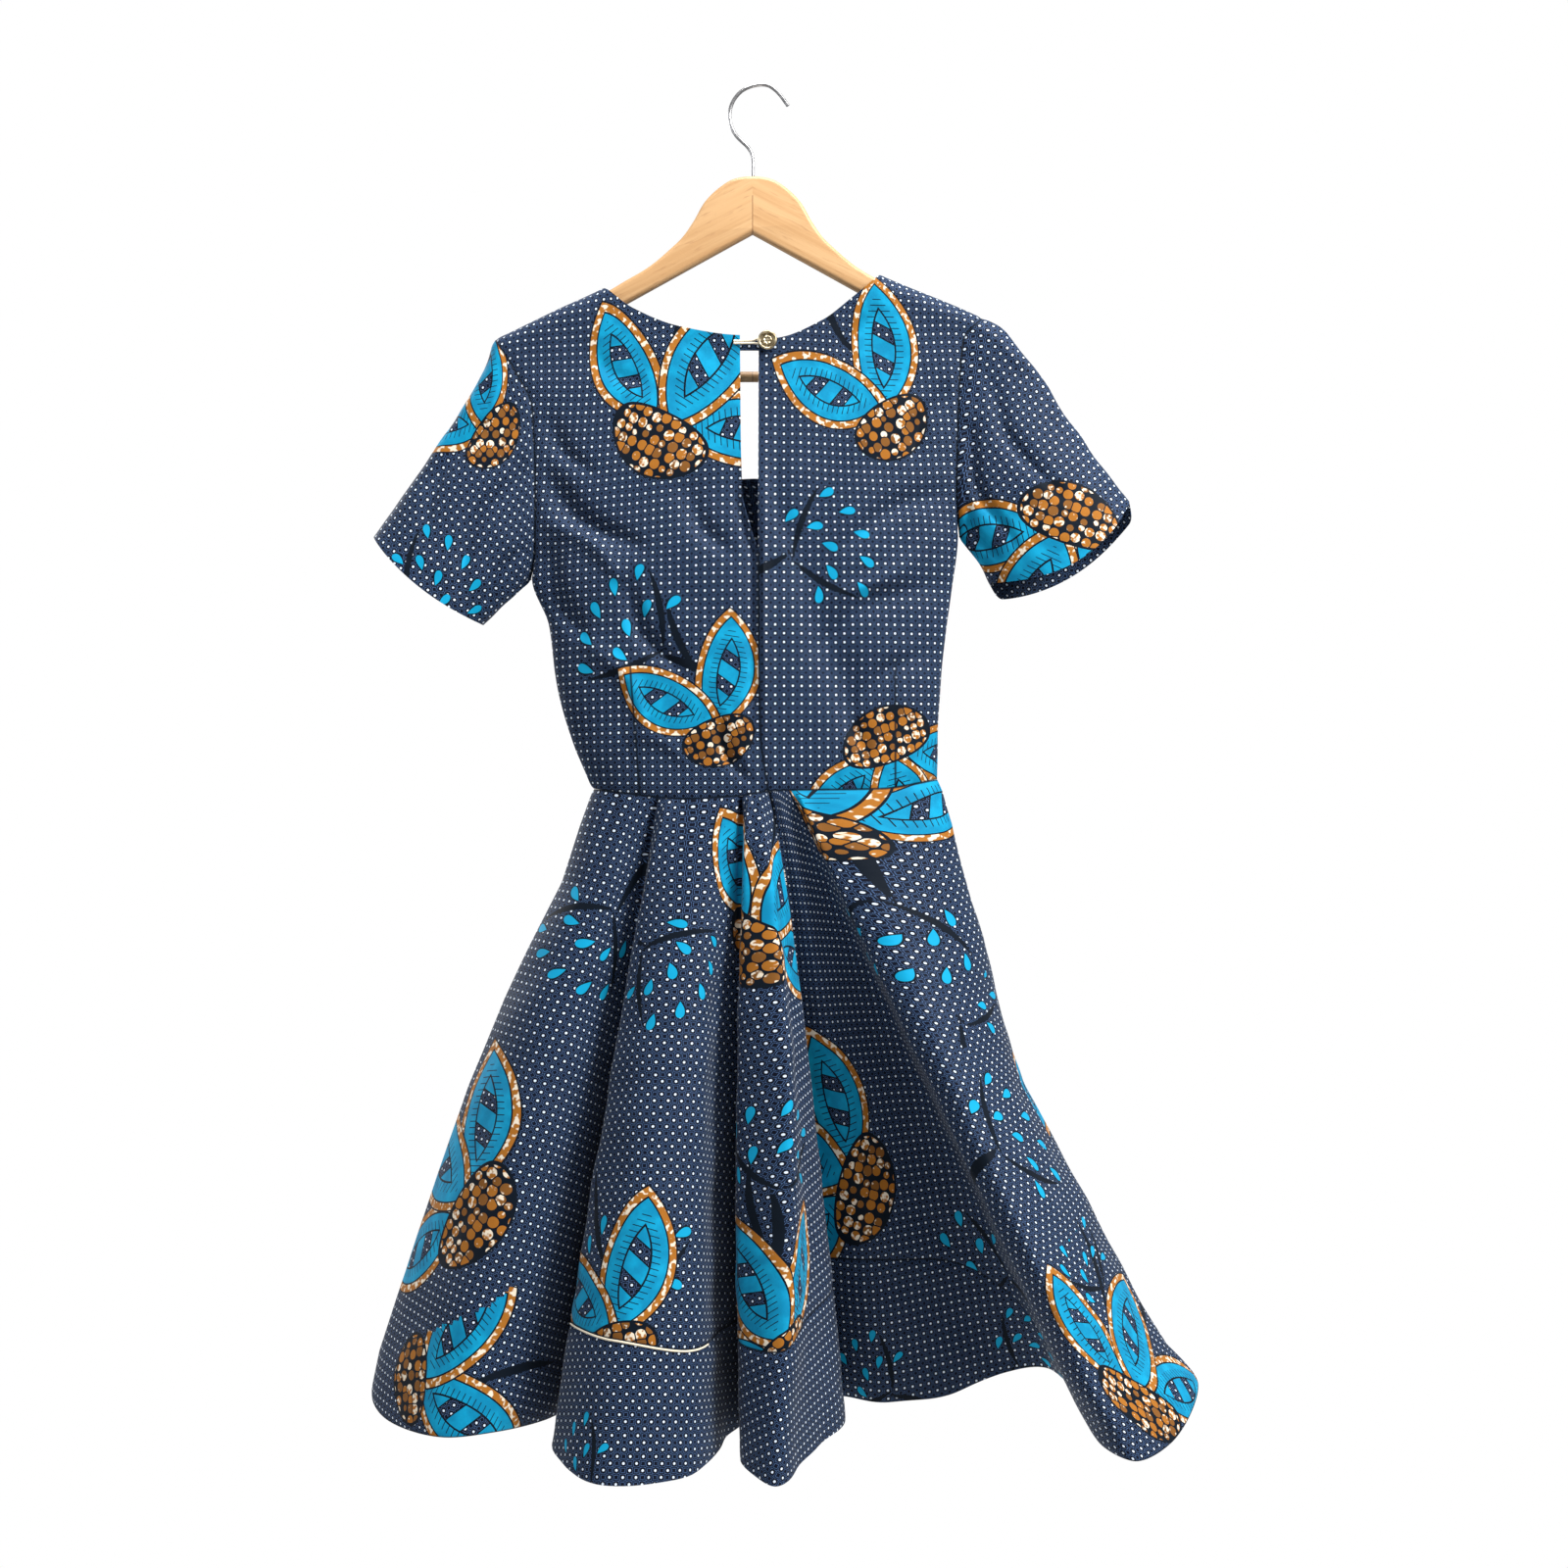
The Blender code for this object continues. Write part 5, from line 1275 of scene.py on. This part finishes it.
def cloth_material():
    look, tree, shader = new_look("printed_cotton_look", 0.62, Specular_IOR_Level=0.10, Sheen_Weight=0.05,
                                  Sheen_Roughness=0.45)
    u, v, flat = uv(tree, "flat")
    x, y, drawing = uv(tree, "motif")
    seam = uv(tree, "edge")[0]
    lattice = lattice_colour(tree, u, v, noise(tree, flat, 420.0, 1.0))
    leaf, share, across, up = nearest_leaf(x, y, SPRIG_LEAVES + PAIR_LEAVES)
    drop_x, drop_y = uv(tree, "drops")[:2]
    stems = nearest_leaf(drop_x, drop_y, DROP_STEMS)[0].least(nearest_leaf(x, y, STEMS)[0])
    fill, edge = drop_mask(drop_x, drop_y)
    patches = noise(tree, flat, 190.0, 1.5).step(0.52, 0.60)
    streaks = noise(tree, flat, 60.0, 3.0).step(0.35, 0.7)
    ticks = abs((up / TICK_PITCH).fraction() - 0.5).under(0.075) * share.over(VEIN) * share.under(TICK_END)
    vein = abs(share - VEIN).under(0.024)
    bars = abs((up / 0.030 + across / 0.060).fraction() - 0.5)
    heart = share.under(HEART)
    blade = layered(tree, blend_colour(tree, streaks, TURQUOISE_DEEP, TURQUOISE), (ticks.most(vein), INK_AND_PAINTED_SHADE),
                    (heart * bars.under(0.235), INK_AND_PAINTED_SHADE), (heart * bars.under(0.190), lattice))
    colour = layered(tree, lattice, (stems.under(0.0), INK_AND_PAINTED_SHADE), (edge, INK_AND_PAINTED_SHADE), (fill, TURQUOISE),
                     (leaf.under(LINE), INK_AND_PAINTED_SHADE), (leaf.under(0.0), blend_colour(tree, patches, OCHRE, CREAM)),
                     (leaf.under(-RIM), INK_AND_PAINTED_SHADE), (leaf.under(-RIM - LINE), blade))
    colour = seeds(tree, x, y, drawing, colour)
    # Painted shade: a dark line along every sewn seam and down each back dart, in place of the shade in their
    # grooves.
    aside, along = uv(tree, "dart")[:2]
    line = 1 - seam.step(0.0003, 0.0015)
    line = line.most((1 - abs(aside).step(0.0002, DART_SHADE_WIDTH)) * along)
    feed(tree, blend_colour(tree, line * 0.9, colour, INK_AND_PAINTED_SHADE), shader.inputs["Base Color"])
    weave = ((u * (2 * pi / THREAD)).sine() + (v * (2 * pi / THREAD)).sine()) * 0.00002
    bumped(tree, shader, weave + noise(tree, flat, 55.0, 3.0) * 0.0011, 0.7, 1.0)
    return look


def seeds(tree, x, y, drawing, under):
    """Clusters of round pebbles at the head of each sprig."""
    heads = None
    for cx, cy, half_x, half_y in (SPRIG_HEAD, PAIR_HEAD):
        dx = (x - cx) / half_x
        dy = (y - cy + (x - cx) * (x - cx) * 3.0) / half_y
        oval = (dx * dx + dy * dy).root()
        heads = oval if heads is None else heads.least(oval)
    cells = tree.nodes.new("ShaderNodeTexVoronoi")
    edges = tree.nodes.new("ShaderNodeTexVoronoi")
    edges.feature = "DISTANCE_TO_EDGE"
    for node in (cells, edges):
        give(node, {"Scale": PEBBLES, "Randomness": 0.42})
        tree.links.new(drawing, node.inputs["Vector"])
    split = tree.nodes.new("ShaderNodeSeparateColor")
    tree.links.new(cells.outputs["Color"], split.inputs[0])
    tone = [Num(tree, output) for output in split.outputs]
    pebble = blend_colour(tree, tone[0].over(0.60), OCHRE, BROWN)
    gleam = noise(tree, drawing, 210.0, 1.0) + tone[1] * 0.30
    pebble = blend_colour(tree, gleam.step(0.70, 0.80), pebble, CREAM)
    inside = Num(tree, cells.outputs["Distance"]).under(0.49)
    apart = Num(tree, edges.outputs["Distance"]).over(0.055)
    body = blend_colour(tree, inside * apart, INK_AND_PAINTED_SHADE, pebble)
    return layered(tree, under, (heads.under(1.07), INK_AND_PAINTED_SHADE), (heads.under(1.0), body))


# Hanger, hook, button, loop and tab

def tube(name, path, radius, sides, look, flat=1.0):
    """A round closed tube along a path; flat squeezes it towards its depth."""
    path = np.asarray(path, float)
    ahead = unit(np.gradient(path, axis=0))
    side = unit(np.cross(ahead, np.array([0.0, 1.0, 0.0])))
    lift = np.cross(side, ahead)
    angle = np.linspace(0, 2 * pi, sides, endpoint=False)
    ring = path[:, None] + radius * (np.cos(angle)[None, :, None] * side[:, None]
                                     + flat * np.sin(angle)[None, :, None] * lift[:, None])
    n = len(path)
    faces = []
    for i in range(n - 1):
        for j in range(sides):
            k = (j + 1) % sides
            faces.append((i * sides + j, i * sides + k, (i + 1) * sides + k, (i + 1) * sides + j))
    faces.append(tuple(range(sides))[::-1])
    faces.append(tuple((n - 1) * sides + j for j in range(sides)))
    mesh = bpy.data.meshes.new(name)
    mesh.from_pydata(ring.reshape(-1, 3).tolist(), [], faces)
    drawn = bmesh.new()
    drawn.from_mesh(mesh)
    return put_drawn(drawn, mesh, look)


def wood_material():
    look, tree, shader = new_look("beech_look", 0.42, Coat_Weight=0.12, Coat_Roughness=0.25)
    x, y, z = own_place(tree)[1:]
    x = x - HANGER_MIDDLE
    joined = tree.nodes.new("ShaderNodeCombineXYZ")
    feed(tree, abs(x) * 0.89 - z * 0.45 + x.over(0.0) * 3.0, joined.inputs[0])
    feed(tree, abs(x) * 0.45 + z * 0.89 + y * 0.2, joined.inputs[1])
    feed(tree, y, joined.inputs[2])
    grain = noise(tree, joined.outputs[0], 60.0, 4.0, (0.10, 3.2, 1.5))
    flecks = noise(tree, joined.outputs[0], 420.0, 1.0, (0.16, 1.6, 1.0))
    broad = noise(tree, joined.outputs[0], 9.0, 2.0, (0.5, 2.5, 1.0))
    seam = abs(x).under(0.0004) * z.under(-0.096)
    colour = layered(tree, srgb(204, 164, 118), (grain.step(0.35, 0.68), srgb(188, 145, 98)),
                     (broad.step(0.4, 0.7) * 0.5, srgb(197, 155, 108)),
                     (flecks.step(0.62, 0.72) * 0.4, srgb(160, 116, 76)),
                     (seam * 0.8, srgb(120, 80, 48)))
    feed(tree, colour, shader.inputs["Base Color"])
    bumped(tree, shader, grain + flecks * 0.5, 0.4, 0.0003)
    return look


def metal_material(name, colour, roughness, darker):
    look, tree, shader = new_look(name, roughness, Metallic=1.0)
    wear = noise(tree, own_place(tree)[0], 380.0, 3.0)
    colour = blend_colour(tree, wear.step(0.35, 0.7), colour, darker)
    feed(tree, colour, shader.inputs["Base Color"])
    feed(tree, wear * 0.2 + (roughness - 0.08), shader.inputs["Roughness"])
    return look


def cord_material():
    look, tree, shader = new_look("cream_cord_look", 0.7, Sheen_Weight=0.3)
    x, y, z = own_place(tree)[1:]
    twist = ((x * 5200.0 + z * 4200.0).sine() + 1.0) * 0.5
    colour = blend_colour(tree, twist, srgb(214, 200, 172), srgb(246, 238, 220))
    feed(tree, colour, shader.inputs["Base Color"])
    return look


# Outline of the hanger's right half, from the hook's seat round to the middle of the underside.
HANGER_TOP = table(Spot, (
    (0.0, -0.0788), (0.009, -0.0794), (0.0175, -0.0815), (0.0289, -0.0886), (0.0408, -0.1001),
    (0.0519, -0.1188), (0.0612, -0.132), (0.0714, -0.1418), (0.0893, -0.1568), (0.1114, -0.17),
    (0.13, -0.1809), (0.1488, -0.1891), (0.17, -0.1978), (0.1913, -0.2078), (0.204, -0.2138),
))
HANGER_END = table(Spot, (
    (0.2115, -0.2185), (0.215, -0.226), (0.215, -0.238), (0.2135, -0.25), (0.2075, -0.259),
    (0.198, -0.2625), (0.1895, -0.261), (0.1841, -0.258), (0.1841, -0.246), (0.182, -0.235),
))
HANGER_UNDER = table(Spot, ((0.174, -0.2235), (0.145, -0.2075), (0.1127, -0.1905), (0.055, -0.1585)))
HANGER_NOTCH = Spot(0.0, -0.1282)

# The hook's centre line, from the wood up, over the crown and down to its open end.
HOOK = table(Spot, (
    (-0.0085, -0.0784), (-0.0086, -0.066), (-0.0096, -0.058), (-0.0128, -0.0526), (-0.0172, -0.0484),
    (-0.0225, -0.043), (-0.0263, -0.0365), (-0.0282, -0.03), (-0.0285, -0.0235), (-0.027, -0.0165),
    (-0.0235, -0.0098), (-0.018, -0.004), (-0.0105, -0.0002), (-0.0045, 0.0012), (0.0, 0.0016),
    (0.005, 0.0008), (0.011, -0.003), (0.0158, -0.008), (0.0195, -0.013), (0.0222, -0.0168),
))


def smooth_line(spots, spacing):
    xs = np.array([spot.x for spot in spots])
    zs = np.array([spot.z for spot in spots])
    knots = np.concatenate([[0.0], np.cumsum(np.hypot(np.diff(xs), np.diff(zs)))])
    fine = np.linspace(0.0, knots[-1], int(knots[-1] / spacing) + 2)
    slopes = [np.gradient(values, knots) for values in (xs, zs)]
    return np.stack([hermite(knots, xs, slopes[0], fine), hermite(knots, zs, slopes[1], fine)], axis=-1)


def make_hanger(look):
    """The hanger's outline at a fine pitch, extruded and rounded."""
    top = smooth_line(HANGER_TOP, 0.003)
    end = smooth_line((HANGER_TOP[-1],) + HANGER_END[:8], 0.002)[1:]
    half = [tuple(p) for p in top[1:]] + [tuple(p) for p in end]
    half += [tuple(spot) for spot in HANGER_END[8:] + HANGER_UNDER]
    outline = [tuple(top[0])] + half + [tuple(HANGER_NOTCH)] + [(-x, z) for x, z in reversed(half)]
    drawn = bmesh.new()
    depth = WOOD_THICKNESS / 2
    near, far = [[drawn.verts.new((HANGER_MIDDLE + x, y, z)) for x, z in outline] for y in (-depth, depth)]
    drawn.faces.new(near)
    drawn.faces.new(far[::-1])
    for i in range(len(outline)):
        k = (i + 1) % len(outline)
        drawn.faces.new((near[k], near[i], far[i], far[k]))
    bmesh.ops.recalc_face_normals(drawn, faces=drawn.faces)
    rims = [edge for edge in drawn.edges if abs(edge.verts[0].co.y - edge.verts[1].co.y) < 1e-6]
    bmesh.ops.bevel(drawn, geom=rims, offset=WOOD_ROUNDING, segments=6, profile=0.5, affect="EDGES",
                    clamp_overlap=True)
    made = put_drawn(drawn, bpy.data.meshes.new("hanger_wood"), look, angle=0.6)
    return declare(made, "hanger_body")


def make_bar(look):
    length = 2 * BAR_HALF_LENGTH
    xs = np.concatenate([[0.0, 0.0004], np.linspace(0.002, length - 0.002, 60), [length]])
    path = np.stack([HANGER_MIDDLE - BAR_HALF_LENGTH + xs, xs * 0.0, xs * 0.0 + BAR_Z], axis=-1)
    return declare(tube("hanger_bar_wood", path, BAR_DIAMETER / 2, 40, look), "hanger_bar")


def make_hook(look):
    line = smooth_line(HOOK, 0.0009)
    path = np.stack([line[:, 0], line[:, 0] * 0.0, line[:, 1]], axis=-1)
    return declare(tube("hanger_hook_wire", path, WIRE / 2, 24, look), "hanger_hook")


# Radius as a share of the button's, and height as a share of its thickness, from the middle outwards.
BUTTON_PROFILE = (
    (0.0, 0.60), (0.10, 0.62), (0.16, 0.50), (0.24, 0.52), (0.30, 0.74), (0.38, 0.80), (0.46, 0.70),
    (0.52, 0.30), (0.62, 0.08), (0.70, 0.20), (0.74, 0.80), (0.80, 0.97), (0.87, 1.00), (0.94, 0.90),
    (0.99, 0.66), (1.00, 0.44), (0.97, 0.14), (0.90, 0.0), (0.21, 0.0), (0.21, -1.2), (0.0, -1.2),
)
BUTTON_SIDES = 72


def make_button(look):
    """A turned metal button: a raised rim, and a rosette sunk inside it."""
    radius = BUTTON_DIAMETER / 2
    cx, cz = BUTTON_AT
    angle = np.linspace(0, 2 * pi, BUTTON_SIDES, endpoint=False)
    depth = float(back_surface(np.array(cx), np.array(cz))) - BUTTON_RISE
    drawn = bmesh.new()
    rings = []
    for across, rise in BUTTON_PROFILE:
        petals = 0.10 * np.cos(6 * angle) * (0.28 < across < 0.50)
        lift = (rise + petals) * BUTTON_THICKNESS
        if across == 0.0:
            rings.append([drawn.verts.new((cx, depth - rise * BUTTON_THICKNESS, cz))])
            continue
        out = across * radius
        rings.append([drawn.verts.new((cx + out * np.cos(a), depth - h, cz + out * np.sin(a)))
                      for a, h in zip(angle, lift)])
    for first, second in zip(rings[:-1], rings[1:]):
        for i in range(BUTTON_SIDES):
            k = (i + 1) % BUTTON_SIDES
            corners = [first[i % len(first)], second[i % len(second)],
                       second[k % len(second)], first[k % len(first)]]
            drawn.faces.new(list(dict.fromkeys(corners)))
    made = put_drawn(drawn, bpy.data.meshes.new("gold_button"), look, angle=1.1)
    return declare(made, "button")


def make_loop(look):
    """The cord from the left panel's edge round the button's shank and back."""
    x, z = BUTTON_AT
    reach = SHANK_DIAMETER / 2 + LOOP_RADIUS + 0.0004
    proud = LOOP_RADIUS + 0.0006
    route = [(LOOP_START_X, 0.0010), (-0.0190, 0.0010), (-0.0120, 0.0011), (-0.0070, 0.0014),
             (-0.0035, 0.0020), (x, reach)]
    turn = [(x + reach * np.cos(a), reach * np.sin(a)) for a in np.linspace(pi / 2, -pi / 2, 17)[1:-1]]
    back = [(across, -lift) for across, lift in reversed(route)]
    points = []
    for across, lift in route + turn + back:
        place_z = z + lift - LOOP_DROOP * min((x - across) / 0.02, 1.0)
        depth = float(back_surface(np.array(across), np.array(place_z)))
        points.append((across, depth - proud, place_z))
    points = np.array(points)
    knots = running(points[:, None], 0)[:, 0]
    fine = np.linspace(0, knots[-1], 120)
    path = np.stack([np.interp(fine, knots, points[:, k]) for k in range(3)], axis=-1)
    return declare(tube("button_loop_cord", path, LOOP_RADIUS, 12, look), "button_loop")


def make_tab(look):
    xs, zs = np.meshgrid(np.linspace(-0.0285, 0.0035, 24), np.linspace(-0.2325, -0.2238, 9), indexing="ij")

    def surface(x, z):
        return np.stack([x, back_surface(x, z, CLOTH + SEAM_GAP + 0.0001), z], axis=-1)

    shell = Shell("neck_tab_cloth", surface, xs, zs, flip=False)
    shell.flat = np.stack([xs, zs], axis=-1)
    return make_cloth(shell, (), -1, look)


TACK_STITCHES = 4
TACK_WIDTH = 0.0030
TACK_TOP_SHARE = 0.125
TACK_HEIGHT_SHARE = 0.024
SELVAGE_SHARE = 0.80


def draped_normal(ts, ss):
    """The direction out of the skirt's cloth at each place."""
    across = draped(ts + SLOPE_STEP, ss) - draped(ts - SLOPE_STEP, ss)
    up = draped(ts, ss + SLOPE_STEP) - draped(ts, ss - SLOPE_STEP)
    return unit(np.cross(across, up)) * -1


def make_selvage(look):
    """The pale edge of the cloth showing along the left hem piece's join."""
    low = RING.at["cone 2 turn"]
    high = RING.at["cone 2 lap"]
    ts = np.linspace(low, low + (high - low) * SELVAGE_SHARE, 160)
    shares = join_share(LEFT_JOIN, ts)
    path = draped(ts, shares + 0.002) + draped_normal(ts, shares) * 0.0004
    declare(tube("selvage_edge", path, 0.0009, 8, look, flat=0.6), None)


def make_tack(look):
    """White tacking at the foot of the zip: a few short crossed stitches on the centre back seam."""
    middle = RING.at["centre back"]
    reach = np.linalg.norm(draped(middle + 0.01, 0.14) - draped(middle, 0.14)) / 0.01
    k = np.arange(2 * TACK_STITCHES)
    side = np.where(k % 2 == 0, -0.5, 0.5) * TACK_WIDTH / reach
    shares = TACK_TOP_SHARE + TACK_HEIGHT_SHARE * k / (2 * TACK_STITCHES - 1)
    fine = np.linspace(0, len(k) - 1, 8 * len(k))
    ts = middle + np.interp(fine, k, side)
    ss = np.interp(fine, k, shares)
    lift = tuck_height(ts, ss) + 0.0006
    path = draped(ts, ss) + draped_normal(ts, ss) * lift[:, None]
    declare(tube("zip_tack_thread", path, 0.00045, 8, look), None)


# Everything together

# One photo pixel in metres at the dress, and the photo's width in pixels.
PIXEL = 0.00085
PHOTO_PIXELS = 1600
SENSOR = 36.0
CAMERA_DISTANCE = 1.9
CAMERA_AT = (0.0187, -0.605)
WORLD_STRENGTH = 0.29
LIGHTS = (
    ("key", (2.1, -1.5, 1.15), 0.9, 124.0, (1.0, 0.985, 0.96)),
    ("fill", (-2.2, -1.8, 0.2), 2.0, 16.0, (0.93, 0.96, 1.0)),
    ("top", (0.2, -0.5, 1.6), 1.5, 72.0, (1.0, 0.99, 0.97)),
    ("rear", (-2.6, 2.0, 0.6), 1.5, 60.0, (1.0, 0.99, 0.97)),
)
FLOOR_Z = -1.75


def camera_and_lights():
    scene = bpy.context.scene
    camera = bpy.data.cameras.new("camera")
    camera.lens = SENSOR * CAMERA_DISTANCE / (PHOTO_PIXELS * PIXEL)
    camera.sensor_width = SENSOR
    made = bpy.data.objects.new("camera", camera)
    made.location = (CAMERA_AT[0], -CAMERA_DISTANCE, CAMERA_AT[1])
    made.rotation_euler = (pi / 2, 0.0, 0.0)
    scene.collection.objects.link(made)
    scene.camera = made
    for name, place, size, energy, colour in LIGHTS:
        light = bpy.data.lights.new(name, "AREA")
        light.size = size
        light.energy = energy
        light.color = colour
        lamp = bpy.data.objects.new(name, light)
        lamp.location = place
        aim = np.array([0.0, 0.0, -0.6]) - np.array(place)
        tilt = float(np.arccos(-aim[2] / np.linalg.norm(aim)))
        lamp.rotation_euler = (tilt, 0.0, float(np.arctan2(aim[1], aim[0]) - pi / 2))
        scene.collection.objects.link(lamp)
    world = bpy.data.worlds.new("studio")
    world.use_nodes = True
    tree = world.node_tree
    backdrop = tree.nodes["Background"]
    backdrop.inputs[0].default_value = (1.0, 1.0, 1.0, 1.0)
    seen = tree.nodes.new("ShaderNodeLightPath")
    strength = tree.nodes.new("ShaderNodeMapRange")
    tree.links.new(seen.outputs["Is Camera Ray"], strength.inputs[0])
    strength.inputs[3].default_value = WORLD_STRENGTH
    strength.inputs[4].default_value = 1.0
    tree.links.new(strength.outputs[0], backdrop.inputs[1])
    scene.world = world
    scene.view_settings.view_transform = "Standard"


def make_floor():
    bpy.ops.mesh.primitive_circle_add(vertices=96, radius=1.0, fill_type="NGON", location=(0.0, 0.0, FLOOR_Z))
    floor = bpy.context.object
    floor.name = "studio_floor"
    look, tree, shader = new_look("floor_look", 0.9)
    tone = noise(tree, own_place(tree)[0], 6.0, 2.0)
    colour = blend_colour(tree, tone, srgb(232, 230, 226), srgb(240, 239, 236))
    feed(tree, colour, shader.inputs["Base Color"])
    floor.data.materials.append(look)


def main():
    cotton = cloth_material()
    wood = wood_material()
    steel = metal_material("steel_wire_look", srgb(200, 200, 202), 0.28, srgb(150, 150, 152))
    gold = metal_material("gold_look", srgb(218, 204, 172), 0.30, srgb(140, 122, 90))
    cord = cord_material()
    cloths = [
        make_back(LEFT, "bodice_back_left_cloth", BACK_LEFT_CREASES, BACK_LEFT_MOTIFS, cotton),
        make_back(RIGHT, "bodice_back_right_cloth", BACK_RIGHT_CREASES, BACK_RIGHT_MOTIFS, cotton),
        make_front(cotton),
        make_sleeve(LEFT, "sleeve_left_cloth", LEFT_SLEEVE_CREASES, LEFT_SLEEVE_MOTIFS, cotton),
        make_sleeve(RIGHT, "sleeve_right_cloth", RIGHT_SLEEVE_CREASES, RIGHT_SLEEVE_MOTIFS, cotton),
        *make_skirt(cotton),
        make_tab(cotton),
    ]
    make_hanger(wood)
    make_bar(wood)
    make_hook(steel)
    make_button(gold)
    make_loop(cord)
    make_selvage(cord)
    make_tack(cord)
    make_floor()
    camera_and_lights()


main()
